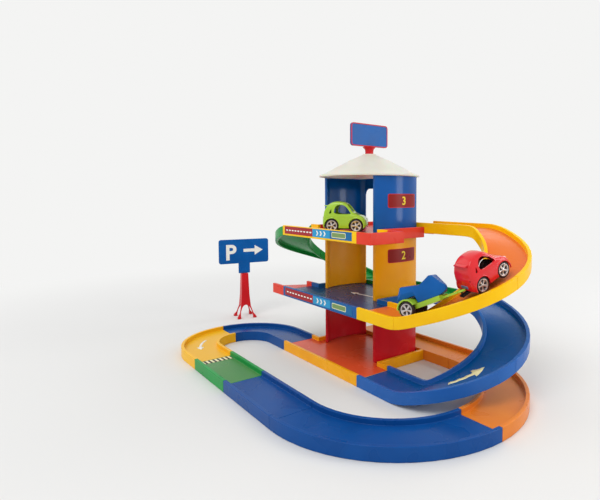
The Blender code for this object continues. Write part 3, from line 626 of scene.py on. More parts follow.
def lay_on(piece: bpy.types.Object, node: str, thickness: float) -> None:
    """Lays a flat marking down onto a CAD node and gives it a film's thickness.

    Args:
        piece: the marking, above the node.
        node: the node that carries it.
        thickness: the film's thickness.
    """
    wrap = piece.modifiers.new("lay_down", "SHRINKWRAP")
    wrap.target = frame["nodes"][node]
    wrap.wrap_method = "PROJECT"
    wrap.use_project_z = True
    wrap.use_negative_direction = True
    wrap.use_positive_direction = False
    wrap.offset = thickness
    film = piece.modifiers.new("film", "SOLIDIFY")
    film.thickness = thickness
    film.offset = -1.0


@dataclass
class Tower:
    """The storeys: trays, bowed walls and the numbered plates on the right-hand walls."""

    wall_bow: float = 12 * MM
    plate_width: float = 74 * MM
    plate_height: float = 26 * MM
    plate_shift: float = 7 * MM
    plate_edge: float = 2.4 * MM
    plate_strips: int = 12
    number_height: float = 15 * MM
    plate_centres: tuple[float, float, float] = (0.089, 0.211, 0.314)
    film: float = 0.35 * MM
    rounding_mm: float = 0.7
    walls: tuple[Plastics, ...] = (Plastics.WALL_RED, Plastics.AMBER, Plastics.WALL_BLUE)

    def build(self) -> None:
        """Dresses the storeys and makes their plates."""
        dress("level1_tray", Plastics.AMBER, self.rounding_mm)
        dress("level2_tray", Plastics.NAVY, self.rounding_mm)
        for node in ("level3_tray", "level3_end_stop", "level3_back_lane", "level2_run_off"):
            dress(node, Plastics.CORAL, self.rounding_mm)
        dress("level3_deck", Plastics.YELLOW, self.rounding_mm)
        dress("level3_back_lintel", Plastics.WALL_BLUE, 0.5)
        for level, finish in enumerate(self.walls, start=1):
            for side in ("left", "right"):
                dress(f"level{level}_wall_{side}", finish, self.rounding_mm, 40.0)
            self.plate(level)

    def wall_radius(self, level: int) -> tuple[float, float]:
        """Where a right-hand wall's outer face bends.

        Args:
            level: the storey.
        Returns:
            The face's radius and the x of its centre.
        """
        low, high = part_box(f"level{level}_wall_right")
        half = (high.y - low.y) / 2
        radius = (half * half + self.wall_bow ** 2) / (2 * self.wall_bow)
        return radius, high.x - radius

    def bend(self, shape: bmesh.types.BMesh, level: int, lift: float) -> None:
        """Bends a flat shape in y-z round a wall: local x is along the wall, y up and z outwards.

        Args:
            shape: the mesh, changed in place.
            level: the storey.
            lift: how far it stands off the wall.
        """
        radius, centre = self.wall_radius(level)
        for vertex in shape.verts:
            across, up, out = vertex.co
            angle = (across + self.plate_shift) / radius
            reach = radius + lift + out
            vertex.co = (centre + reach * math.cos(angle), reach * math.sin(angle),
                         self.plate_centres[level - 1] + up)

    def plate_slab(self, width: float, height: float) -> bmesh.types.BMesh:
        """A plate with round corners, cut in strips so that it can bend.

        Args:
            width: its size along the wall.
            height: its height.
        Returns:
            The mesh, flat in x-y.
        """
        outline = rounded_box_outline(width, height, 3.5 * MM)
        shape = prism(outline, 0.0, self.film)
        for i in range(1, self.plate_strips):
            cut = -width / 2 + width * i / self.plate_strips
            geometry = shape.verts[:] + shape.edges[:] + shape.faces[:]
            bmesh.ops.bisect_plane(shape, geom=geometry, plane_co=(cut, 0, 0), plane_no=(1, 0, 0))
        return shape

    def plate(self, level: int) -> None:
        """Makes the plate of one storey: a red edge, a dark field and a plain yellow number.

        Args:
            level: the storey, which is the number.
        """
        for name, inset, lift, finish in (("plate_edge", 0.0, 0.05 * MM, Plastics.PRINT_PLATE_EDGE),
                                          ("plate", self.plate_edge, 0.2 * MM, Plastics.PRINT_PLATE)):
            slab = self.plate_slab(self.plate_width - inset, self.plate_height - inset)
            self.bend(slab, level, lift)
            add_piece(f"level{level}_{name}", slab, finish, "garage")
        number = letter_mesh(str(level), self.number_height, 0.3 * MM, 0.35 * MM)
        self.bend(number, level, 0.5 * MM)
        add_piece(f"level{level}_number", number, Plastics.PRINT_YELLOW)


@dataclass
class Track:
    """The ramps and the ground track, with the markings on them."""

    rounding_mm: float = 0.8
    film: float = 0.25 * MM
    zebra_bars: int = 7
    zebra_length: float = 16 * MM
    band_height: float = 15 * MM
    band_lift: float = 1 * MM
    band_layer: float = 0.12 * MM
    finishes: dict[str, Plastics] = field(default_factory=lambda: {
        "yellow_ramp_start": Plastics.RAMP_YELLOW, "yellow_ramp_lower": Plastics.RAMP_YELLOW,
        "yellow_ramp_upper": Plastics.RAMP_YELLOW,
        "blue_ramp_lower": Plastics.RAMP_BLUE, "blue_ramp_upper": Plastics.RAMP_BLUE,
        "green_ramp_upper": Plastics.GREEN, "green_ramp_lower": Plastics.GREEN,
        "level2_back_lane": Plastics.GREEN, "ground_curve_blue": Plastics.BLUE,
        "ground_curve_yellow": Plastics.TURN_YELLOW, "ground_straight_green": Plastics.ROAD_GREEN,
        "ground_straight_blue": Plastics.BLUE, "ground_curve_front": Plastics.BLUE,
        "ground_curve_back": Plastics.ORANGE, "level1_back_lane": Plastics.ORANGE})

    def build(self) -> None:
        """Dresses every piece of track and lays the markings."""
        for node, finish in self.finishes.items():
            dress(node, finish, self.rounding_mm)
        self.zebra()
        self.turn_arrow()
        self.bay_arrow()
        self.ramp_arrow()
        self.rail_band("level3_deck", "level3")
        self.rail_band("level2_tray", "level2")

    def zebra(self) -> None:
        """Cream bars on black across the start of the green straight."""
        low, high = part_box("ground_straight_green")
        floor = low.z + FLOOR_RISE
        inner = high.y - low.y - 2 * RIM_WIDTH - 4 * MM
        middle = (low.y + high.y) / 2
        start = low.x + 3 * MM
        end = start + self.zebra_length
        edges = (middle - inner / 2, middle + inner / 2)
        outline = [(start, edges[0]), (end, edges[0]), (end, edges[1]), (start, edges[1])]
        ground = prism(outline, floor + 0.02 * MM, floor + self.film)
        add_piece("zebra_ground", ground, Plastics.PRINT_BLACK)
        pitch = inner / self.zebra_bars
        for i in range(self.zebra_bars):
            y = edges[0] + pitch * (i + 0.25)
            outline = [(start, y), (end, y + pitch * 0.1), (end, y + pitch * 0.6), (start, y + pitch * 0.5)]
            bar = prism(outline, floor + 0.1 * MM, floor + self.film + 0.15 * MM)
            add_piece(f"zebra_bar_{i + 1}", bar, Plastics.PRINT_CREAM)

    def turn_arrow(self) -> None:
        """The white curved arrow on the yellow turn, which follows the lane."""
        low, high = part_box("ground_curve_yellow")
        path = self.lane_arc(low.x + TURN_RADIUS, high.y, range(222, 263, 2))
        shape = arrow_strip(path, 5 * MM, 15 * MM, 16 * MM, low.z + 4 * ABOVE)
        self.marking("turn_arrow", shape, Plastics.PRINT_WHITE, "ground_curve_yellow")

    def bay_arrow(self) -> None:
        """The white arrow that points to the left on the middle storey's floor."""
        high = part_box("level2_tray")[1]
        path = [(0.056 - 0.006 * i, -0.030 - 0.0005 * i) for i in range(13)]
        shape = arrow_strip(path, 4 * MM, 13 * MM, 15 * MM, high.z + ABOVE)
        self.marking("bay_arrow", shape, Plastics.PRINT_WHITE, "level2_tray")

    def ramp_arrow(self) -> None:
        """The cream arrow that points up the blue ramp."""
        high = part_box("blue_ramp_lower")[1]
        path = self.lane_arc(high.x - TURN_RADIUS, 0.0, range(-50, -13, 2))
        shape = arrow_strip(path, 7 * MM, 21 * MM, 18 * MM, high.z + ABOVE)
        self.marking("ramp_arrow", shape, Plastics.PRINT_CREAM, "blue_ramp_lower")

    def lane_arc(self, x: float, y: float, degrees: range) -> list[Point2]:
        """Points along the middle of a turn's lane.

        Args:
            x: the turn's centre.
            y: the turn's centre.
            degrees: the directions of the points from the centre.
        Returns:
            The points in plan.
        """
        radius = TURN_RADIUS - LANE_WIDTH / 2
        return [(x + radius * math.cos(math.radians(a)), y + radius * math.sin(math.radians(a)))
                for a in degrees]

    def marking(self, name: str, shape: bmesh.types.BMesh, finish: Plastics, node: str) -> None:
        """Turns a flat arrow into a piece and lays it onto a node."""
        lay_on(add_piece(name, shape, finish), node, self.film)

    def rail_band(self, node: str, word: str) -> None:
        """The printed band along a deck's near rail: coloured fields, dashes, chevrons and a bare pill.

        Args:
            node: the deck that carries it.
            word: what the pieces' names begin with.
        """
        low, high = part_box(node)
        face = low.y
        middle = (low.z + high.z) / 2 + self.band_lift
        turn = Matrix.Rotation(math.radians(90), 4, "X")

        def put(name: str, outline: list[Point2], x: float, layer: int, finish: Plastics) -> None:
            """Places one flat field of the band.

            Args:
                name: the piece's name.
                outline: its outline about its middle.
                x: its middle along the rail.
                layer: how many layers of print lie under it.
                finish: its finish.
            """
            shape = prism(outline, 0.0, self.film)
            place = Matrix.Translation((x, face - layer * self.band_layer, middle)) @ turn
            add_piece(name, shape, finish, "garage", place)

        fields = (("maroon", -0.115, -0.010, Plastics.PRINT_MAROON),
                  ("sky", -0.010, 0.047, Plastics.PRINT_SKY), ("teal", 0.047, 0.112, Plastics.PRINT_TEAL))
        for label, start, end, finish in fields:
            outline = rounded_box_outline(end - start, self.band_height, 0.6 * MM, 2)
            put(f"{word}_band_{label}", outline, (start + end) / 2, 0, finish)
        for i in range(9):
            put(f"{word}_band_dash_{i + 1}", rounded_box_outline(7 * MM, 2.6 * MM, 1.2 * MM, 3),
                -0.105 + i * 0.011, 1, Plastics.PRINT_WHITE)
        for i in range(3):
            chevron = [(-3.5 * MM, -4.5 * MM), (0.5 * MM, -4.5 * MM), (4 * MM, 0), (0.5 * MM, 4.5 * MM),
                       (-3.5 * MM, 4.5 * MM), (0, 0)]
            put(f"{word}_band_chevron_{i + 1}", chevron, 0.006 + i * 0.012, 1, Plastics.PRINT_WHITE)
        put(f"{word}_band_pill_edge", rounded_box_outline(42 * MM, 10 * MM, 2.5 * MM), 0.074, 1,
            Plastics.PRINT_CREAM)
        put(f"{word}_band_pill", rounded_box_outline(39.5 * MM, 7.5 * MM, 1.8 * MM), 0.074, 2,
            Plastics.PRINT_SAGE)


@dataclass
class Roof:
    """The milky roof with the sign on its top."""

    border: float = 2.0 * MM
    corner: float = 6 * MM
    stand_out: float = 0.4 * MM
    sink: float = -0.1 * MM
    flutes: int = 12
    flute_depth: float = 0.7 * MM
    foot: float = 8.5 * MM

    def build(self) -> None:
        """Dresses the roof and its post and edges the sign in red."""
        dress("roof", Plastics.MILK, 0.6)
        dress("roof_sign_board", Plastics.SIGN_BLUE, 0.8)
        self.fluted_post()
        self.sign_border()

    def fluted_post(self) -> None:
        """The sign's stem with upright flutes, which spreads under the board."""
        low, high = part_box("roof_sign_post")
        foot = self.foot
        rows = along([(foot, 0.0), (foot * 0.98, 0.3), (foot * 1.1, 0.66), (foot * 1.5, 0.9),
                      (foot * 1.55, 1.0)], 5)
        rings = []
        steps = self.flutes * 8
        for radius, share in rows:
            z = low.z + (high.z - low.z) * share
            depth = self.flute_depth * (1 - share)
            ring = []
            for i in range(steps):
                angle = 2 * math.pi * i / steps
                reach = min(radius, high.x) - depth * (0.5 - 0.5 * math.cos(angle * self.flutes))
                ring.append((reach * math.cos(angle), reach * math.sin(angle), z))
            rings.append(ring)
        piece = add_piece("roof_sign_stem", skin(rings), Plastics.SIGN_RED, "garage")
        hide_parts("roof_sign_post")

    def sign_border(self) -> None:
        """The thin dark red edge round both faces of the sign."""
        low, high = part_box("roof_sign_board")
        width = high.y - low.y
        height = high.z - low.z
        outer = rounded_box_outline(width, height, self.corner)
        inner = rounded_box_outline(width - 2 * self.border, height - 2 * self.border,
                                    self.corner - self.border)
        middle = (low + high) / 2
        for label, sign in (("front", 1), ("back", -1)):
            levels = ((outer, self.sink), (outer, self.stand_out), (inner, self.stand_out),
                      (inner, self.sink))
            shape = skin([[(sign * x, y, z) for y, z in outline] for outline, x in levels], round_again=True)
            place = Matrix.Translation((sign * (high.x - low.x) / 2 * 0.97, middle.y, middle.z))
            add_piece(f"roof_sign_border_{label}", shape, Plastics.PRINT_PLATE_EDGE, "garage",
                      place)


@dataclass
class ParkingSign:
    """The free-standing sign with a plain P and an arrow."""

    turn: float = math.radians(-10)
    film: float = 0.3 * MM
    centre_drop: float = 32 * MM
    half_board: float = 2.5 * MM
    letter_height: float = 38 * MM

    def build(self) -> None:
        """Dresses the post and the board and puts the letter and the arrow on it."""
        dress("parking_sign_post", Plastics.SIGN_RED, 0.8, 40.0)
        dress("parking_sign_board", Plastics.SIGN_BLUE, 0.9)
        low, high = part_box("parking_sign_board")
        middle = (low + high) / 2
        centre_z = high.z - self.centre_drop
        base = Matrix.Translation((middle.x, middle.y, centre_z)) @ Matrix.Rotation(self.turn, 4, "Z")
        upright = Matrix(((0, 0, 1, 0), (1, 0, 0, 0), (0, 1, 0, 0), (0, 0, 0, 1)))
        front = self.half_board
        letter = letter_mesh("P", self.letter_height, self.film, 1.6 * MM)
        add_piece("parking_sign_letter", letter, Plastics.PRINT_WHITE, "garage",
                  base @ upright @ Matrix.Translation((-34 * MM, -2 * MM, front)))
        arrow = [(-26, -4), (4, -4), (4, -13), (26, 0), (4, 13), (4, 4), (-26, 4)]
        shape = prism([(x * MM, y * MM) for x, y in arrow], 0.0, self.film)
        add_piece("parking_sign_arrow", shape, Plastics.PRINT_WHITE, "garage",
                  base @ upright @ Matrix.Translation((24 * MM, 2 * MM, front)))


# Turned bodies of a wheel: material index, and a section of radius and depth from the outside in millimetres
WHEEL_SECTIONS = (
    (1, ((9.9, 1.3), (9.7, 0.2), (9.3, 0.1), (8.3, 0.5), (7.9, 1.6), (7.9, 3.2), (9.9, 3.2))),
    (2, ((1.8, 3.0), (8.1, 3.0), (8.1, 3.8), (1.8, 3.8))),
    (1, ((0.0, 0.5), (1.2, 0.55), (2.2, 0.9), (2.5, 1.5), (2.5, 3.4), (0.0, 3.4))),
    (2, ((2.0, 7.8), (9.8, 7.8), (9.8, 6.8), (2.0, 6.8))))


@dataclass
class Wheel:
    """A toy wheel: soft tyre, silver spoked hub and a dark well of painted shade behind the spokes, about its
    own y axis, outside at +y.
    """

    radius: float = 12.5 * MM
    width: float = 8 * MM
    spokes: int = 5
    steps: int = 60

    def mesh(self) -> bpy.types.Mesh:
        """Makes the wheel's mesh, once.

        Returns:
            The mesh, which all wheels share.
        """
        found = bpy.data.meshes.get("spoked_wheel")
        if found:
            return found
        shape = bmesh.new()
        half = self.width / 2
        self.turned(shape, self.tyre_profile(half), 0)
        for finish, section in WHEEL_SECTIONS:
            self.turned(shape, [(radius * MM, half - depth * MM) for radius, depth in section], finish)
        for i in range(self.spokes):
            self.spoke(shape, 2 * math.pi * i / self.spokes, half)
        mesh = mesh_of("spoked_wheel", shape)
        mesh.shade_smooth()
        mesh.set_sharp_from_angle(angle=math.radians(40))
        return mesh

    def tyre_profile(self, half: float) -> list[Point2]:
        """Section of the tyre with two grooves round its tread.

        Args:
            half: half the wheel's width.
        Returns:
            Its (radius, y) points.
        """
        outer = self.radius
        groove = 0.5 * MM
        profile = [(9.7 * MM, half - 1.0 * MM), (10.6 * MM, half), (outer - 0.9 * MM, half - 0.05 * MM),
                   (outer - 0.25 * MM, half - 0.5 * MM), (outer, half - 1.3 * MM)]
        for y in (1.3 * MM, -1.3 * MM):
            profile += [(outer, y + 0.45 * MM), (outer - groove, y + 0.3 * MM),
                        (outer - groove, y - 0.3 * MM), (outer, y - 0.45 * MM)]
        profile += [(outer, -half + 1.3 * MM), (outer - 0.25 * MM, -half + 0.5 * MM),
                    (outer - 0.9 * MM, -half + 0.05 * MM), (10.6 * MM, -half), (9.7 * MM, -half + 0.6 * MM)]
        return profile

    def turned(self, shape: bmesh.types.BMesh, profile: list[Point2], finish: int) -> None:
        """Adds a body turned about y.

        Args:
            shape: the wheel's mesh.
            profile: closed section of (radius, y) points.
            finish: material index of its faces.
        """
        rings = []
        for radius, y in profile:
            count = self.steps if radius > 1e-7 else 1
            turn = [2 * math.pi * i / count for i in range(count)]
            rings.append([shape.verts.new((radius * math.cos(a), y, radius * math.sin(a))) for a in turn])
        for ring, following in zip(rings, rings[1:] + rings[:1]):
            if len(ring) == 1 and len(following) == 1:
                continue
            for i in range(self.steps):
                j = (i + 1) % self.steps
                corners = [ring[i % len(ring)], ring[j % len(ring)], following[j % len(following)],
                           following[i % len(following)]]
                face = shape.faces.new(list(dict.fromkeys(corners)))
                face.material_index = finish

    def spoke(self, shape: bmesh.types.BMesh, angle: float, half: float) -> None:
        """Adds one forked spoke, wider at the rim.

        Args:
            shape: the wheel's mesh.
            angle: its direction.
            half: half the wheel's width.
        """
        rows = []
        for radius, wide, top in ((2.0, 1.1, 1.2), (4.6, 1.2, 1.5), (6.6, 1.7, 1.4), (8.3, 2.6, 1.0)):
            for_row = []
            for side, depth in ((-1, 3.1), (-1, top + 0.35), (0, top), (1, top + 0.35), (1, 3.1)):
                x = radius * MM
                z = side * wide * MM
                for_row.append(shape.verts.new((x * math.cos(angle) - z * math.sin(angle), half - depth * MM,
                                                x * math.sin(angle) + z * math.cos(angle))))
            rows.append(for_row)
        before = set(shape.faces)
        close_rings(shape, rows)
        for face in set(shape.faces) - before:
            face.material_index = 1

    def put(self, node: str, body: str, place: Matrix, side: int) -> None:
        """Puts a wheel in the place of a CAD wheel.

        Args:
            node: the CAD wheel.
            body: the axle's body.
            place: the wheel's frame.
            side: 1 on the left and -1 on the right, where the wheel is turned round.
        """
        if side < 0:
            place = place @ Matrix.Rotation(math.pi, 4, "Z")
        finishes = [Plastics.TYRE, Plastics.HUB, Plastics.HUB_WELL]
        piece = add_mesh_piece(node + "_spoked", self.mesh(), finishes, body, place)
        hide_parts(node)


def joint_of(name: str) -> dict:
    """The frame's joint of a name."""
    return next(joint for joint in frame["joints"] if joint["name"] == name)


def standing_frame(origin: Vector, forward: Vector, left: Vector) -> Matrix:
    """A placement with +X forward and +Y left.

    Args:
        origin: its origin.
        forward: the forward direction.
        left: a direction to the left.
    Returns:
        The matrix.
    """
    ahead = forward.normalized()
    up = ahead.cross(left).normalized()
    aside = up.cross(ahead).normalized()
    return Matrix.Translation(origin) @ Matrix((ahead, aside, up)).transposed().to_4x4()


# Sections of the car from tail to nose: place, half width, sill, belt line, roof, half roof width
CAR_SECTIONS = (
    (-0.0410, 0.0150, 0.0110, 0.0240, 0.0290, 0.0130),
    (-0.0380, 0.0190, 0.0090, 0.0290, 0.0400, 0.0160),
    (-0.0330, 0.0208, 0.0080, 0.0310, 0.0505, 0.0160),
    (-0.0240, 0.0210, 0.0080, 0.0320, 0.0565, 0.0155),
    (-0.0120, 0.0210, 0.0080, 0.0320, 0.0580, 0.0155),
    (0.0000, 0.0210, 0.0080, 0.0320, 0.0560, 0.0155),
    (0.0070, 0.0210, 0.0080, 0.0315, 0.0510, 0.0157),
    (0.0170, 0.0210, 0.0080, 0.0310, 0.0380, 0.0170),
    (0.0240, 0.0208, 0.0080, 0.0295, 0.0340, 0.0172),
    (0.0340, 0.0198, 0.0090, 0.0270, 0.0300, 0.0165),
    (0.0400, 0.0165, 0.0110, 0.0210, 0.0250, 0.0140),
    (0.0410, 0.0140, 0.0130, 0.0180, 0.0210, 0.0120))


@dataclass
class ToyCar:
    """A small car: rounded shell with open windows, lamps, arch lips, base plate and wheels."""

    name: str
    finish: Plastics
    slot: str
    wheel: Wheel = field(default_factory=Wheel)
    wheel_base: float = 46 * MM
    track: float = 32 * MM
    shell: float = 2.2 * MM
    place: Matrix = field(default_factory=Matrix)

    def build(self) -> None:
        """Places the car by its axles and makes its pieces."""
        front = joint_of(f"{self.name}_front_spin")
        rear = joint_of(f"{self.name}_rear_spin")
        ends = [Vector(front["pos_m"]), Vector(rear["pos_m"])]
        left = Vector(front["axis"])
        self.place = standing_frame((ends[0] + ends[1]) / 2, ends[0] - ends[1], left)
        self.place = self.place @ Matrix.Translation((0, 0, -self.wheel.radius))
        self.shell_piece()
        dress(f"{self.name}_base", Plastics.CHASSIS, 0.4)
        self.wheels()
        self.trim()

    def ring(self, row: tuple[float, ...], inset: float, drop: float) -> list[Point3]:
        """One smooth section of the body.

        Args:
            row: place, half width, sill, belt line, roof and half roof width.
            inset: how far it is drawn in.
            drop: how far its sill is lowered.
        Returns:
            The section's points.
        """
        x, width, sill, belt, top, top_width = row
        x *= 1 - inset / 0.041
        width -= inset
        top_width -= inset * 0.8
        top -= inset
        belt -= inset * 0.3
        side = belt - sill
        rise = top - belt
        half = [(width * 0.96, sill - drop), (width, sill + side * 0.2 - drop / 4),
                (width, belt - side * 0.2), (width * 0.985, belt), (top_width + 0.0006, top - rise * 0.22),
                (top_width * 0.8, top - rise * 0.05), (0.0, top)]
        curve = along(half, 4)
        right = [(x, y, z) for y, z in curve]
        return right + [(x, -y, z) for y, z in curve[-2::-1]]

    def loft(self, inset: float, drop: float) -> bmesh.types.BMesh:
        """The body's outer or inner form.

        Args:
            inset: how far it is drawn in.
            drop: how far its sill is lowered.
        Returns:
            The mesh.
        """
        rings = []
        steps = 4
        for i, row in enumerate(along(list(CAR_SECTIONS), steps)):
            part, step = divmod(i, steps)
            near, far = CAR_SECTIONS[part][0], CAR_SECTIONS[min(part + 1, len(CAR_SECTIONS) - 1)][0]
            row = (near + (far - near) * step / steps, *row[1:])
            rings.append(self.ring(row, inset, drop))
        shape = skin(rings)
        bmesh.ops.triangulate(shape, faces=shape.faces)
        return shape

    def cut(self, target: bpy.types.Object, cutters: list[bmesh.types.BMesh]) -> None:
        """Cuts forms out of a piece for good.

        Args:
            target: the piece.
            cutters: the forms.
        """
        holders = []
        for i, shape in enumerate(cutters):
            holder = new_object(f"cutter_{i}", mesh_of(f"cutter_{i}", shape))
            boolean = target.modifiers.new(f"cut_{i}", "BOOLEAN")
            boolean.object = holder
            boolean.operation = "DIFFERENCE"
            boolean.solver = "MANIFOLD"
            holders.append(holder)
        bpy.context.view_layer.update()
        graph = bpy.context.evaluated_depsgraph_get()
        cut_mesh = bpy.data.meshes.new_from_object(target.evaluated_get(graph))
        target.modifiers.clear()
        target.data = cut_mesh
        for holder in holders:
            bpy.data.objects.remove(holder)

    def across(self, outline: list[Point2], half_width: float) -> bmesh.types.BMesh:
        """A prism across the car from a side outline of (x, z) points."""
        return skin([[(x, y, z) for x, z in outline] for y in (-half_width, half_width)])

    def soft_outline(self, points: list[Point2], rounds: int = 2) -> list[Point2]:
        """Rounds an outline's corners by cutting them again and again.

        Args:
            points: its corners in order.
            rounds: how often they are cut.
        Returns:
            The rounded outline.
        """
        for _ in range(rounds):
            cut = []
            for a, b in zip(points, points[1:] + points[:1]):
                cut.append((a[0] * 0.78 + b[0] * 0.22, a[1] * 0.78 + b[1] * 0.22))
                cut.append((a[0] * 0.22 + b[0] * 0.78, a[1] * 0.22 + b[1] * 0.78))
            points = cut
        return points

    def disc_outline(self, x: float, z: float, radius: float, steps: int = 40) -> list[Point2]:
        """Points round a circle in the side view."""
        turn = [2 * math.pi * (i + 0.5) / steps for i in range(steps)]
        return [(x + radius * math.cos(a), z + radius * math.sin(a)) for a in turn]

    def shell_piece(self) -> None:
        """The body shell with its windows and wheel arches cut out."""
        side = [(-0.0195, 0.0340), (-0.0180, 0.0455), (-0.0125, 0.0515), (-0.0010, 0.0510), (0.0050, 0.0465),
                (0.0130, 0.0360), (0.0130, 0.0340)]
        windscreen = [(0.0030, 0.0600), (0.0030, 0.0500), (0.0120, 0.0385), (0.0240, 0.0385),
                      (0.0240, 0.0600)]
        quarter = [(-0.0290, 0.0350), (-0.0235, 0.0350), (-0.0235, 0.0450)]
        cutters = [self.loft(self.shell, 0.020), self.across(self.soft_outline(side), 0.03),
                   self.across(windscreen, 0.0115), self.across(self.soft_outline(quarter, 1), 0.03)]
        for x in (-self.wheel_base / 2, self.wheel_base / 2):
            arch = self.disc_outline(x, self.wheel.radius, self.wheel.radius + 1.5 * MM)
            cutters.append(self.across(arch, 0.03))
        piece = new_object(self.name + "_shell", mesh_of(self.name + "_shell", self.loft(0.0, 0.0)))
        self.cut(piece, cutters)
        piece.data.materials.clear()
        piece.data.materials.append(self.finish.value.material())
        piece.data.shade_smooth()
        piece.data.set_sharp_from_angle(angle=math.radians(38))
        piece.matrix_world = self.place
        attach(piece, self.name)
        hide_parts(self.name + "_body")
        LOG.info("made %s", piece.name)

    def wheels(self) -> None:
        """The four wheels and the dressed axles."""
        for end, sign in ENDS:
            dress(f"{self.name}_{end}_axle", Plastics.STEEL_WIRE, 0.15)
            for word, side in SIDES:
                middle = (sign * self.wheel_base / 2, side * self.track / 2, self.wheel.radius)
                self.wheel.put(f"{self.name}_{end}_wheel_{word}", f"{self.name}_{end}_wheels",
                               self.place @ Matrix.Translation(middle), side)

    def trim(self) -> None:
        """Arch lips, lamps, a bare plate, a front bumper and the lip at the roof's rear edge."""
        for end, sign in ENDS:
            for word, side in SIDES:
                self.arch_lip(f"{self.name}_{end}_arch_lip_{word}", sign * self.wheel_base / 2, side)
        for word, side in SIDES:
            self.lamp(f"{self.name}_head_lamp_{word}", Vector((0.0388, side * 0.0120, 0.0235)), 3.2 * MM, 1,
                      Plastics.LAMP_WHITE)
            self.lamp(f"{self.name}_tail_lamp_{word}", Vector((-0.0392, side * 0.0135, 0.0275)), 2.8 * MM, -1,
                      Plastics.LAMP_RED)
        self.bar(f"{self.name}_rear_plate", (-0.0408, 0, 0.0160), (0.0012, 0.0150, 0.0052),
                 Plastics.PLATE_GREY)
        self.bar(f"{self.name}_rear_lip", (-0.0345, 0, 0.0497), (0.0085, 0.0250, 0.0017), self.finish)
        self.bar(f"{self.name}_front_bumper", (0.0405, 0, 0.0150), (0.0022, 0.0260, 0.0040), self.finish)

    def arch_lip(self, name: str, x: float, side: int) -> None:
        """A raised lip round a wheel arch.

        Args:
            name: the piece's name.
            x: the axle's place.
            side: 1 on the left and -1 on the right.
        """
        rings = []
        inner = self.wheel.radius + 1.4 * MM
        for i in range(25):
            angle = math.radians(-14 + 208 * i / 24)
            ring = []
            for reach, y in ((0.0, 19.6), (0.0, 21.3), (0.6, 21.7), (1.3, 21.5), (1.9, 20.9), (1.9, 19.6)):
                radius = inner + reach * MM
                ring.append((x + radius * math.cos(angle), side * y * MM,
                             self.wheel.radius + radius * math.sin(angle)))
            rings.append(ring)
        add_piece(name, skin(rings), self.finish, self.name, self.place)

    def lamp(self, name: str, middle: Vector, radius: float, facing: int, finish: Plastics) -> None:
        """A round domed lamp.

        Args:
            name: the piece's name.
            middle: its middle in the car's frame.
            radius: its radius.
            facing: 1 for a head lamp and -1 for a tail lamp.
            finish: its finish.
        """
        turn = [2 * math.pi * i / 24 for i in range(24)]
        dome = ((1.0, -2.5), (1.0, 0.3), (0.85, 0.9), (0.55, 1.3), (0.1, 1.5))
        shape = skin([[(facing * out * MM, radius * reach * math.cos(a), radius * reach * math.sin(a))
                       for a in turn] for reach, out in dome])
        add_piece(name, shape, finish, self.name, self.place @ Matrix.Translation(middle))

    def bar(self, name: str, middle: Point3, size: Point3, finish: Plastics) -> None:
        """A small bar with rounded edges.

        Args:
            name: the piece's name.
            middle: its middle in the car's frame.
            size: its size.
            finish: its finish.
        """
        outline = rounded_box_outline(size[1], size[2], min(size[2] * 0.42, 0.0016), 4)
        shape = skin([[(x * size[0], y * share, z * share) for y, z in outline]
                      for x, share in ((-0.5, 0.94), (-0.32, 1.0), (0.32, 1.0), (0.5, 0.94))])
        add_piece(name, shape, finish, self.name, self.place @ Matrix.Translation(middle))


@dataclass
class Trailer:
    """The towed trailer with its load."""

    wheel: Wheel = field(default_factory=Wheel)
    track: float = 40 * MM
    place: Matrix = field(default_factory=Matrix)

    def build(self) -> None:
        """Places the trailer by its axle and its hitch and makes its pieces."""
        spin = joint_of("trailer_spin")
        hitch = joint_of("trailer_hitch")
        axle = Vector(spin["pos_m"])
        self.place = standing_frame(axle, Vector(hitch["pos_m"]) - axle, Vector(spin["axis"]))
        dress("trailer_base", Plastics.LIME, 0.5)
        dress("trailer_load", Plastics.LOAD_BLUE, 1.2, 22.0)
        dress("trailer_axle", Plastics.STEEL_WIRE, 0.15)
        for word, side in SIDES:
            place = self.place @ Matrix.Translation((0, side * self.track / 2, 0))
            self.wheel.put(f"trailer_wheel_{word}", "trailer_wheels", place, side)


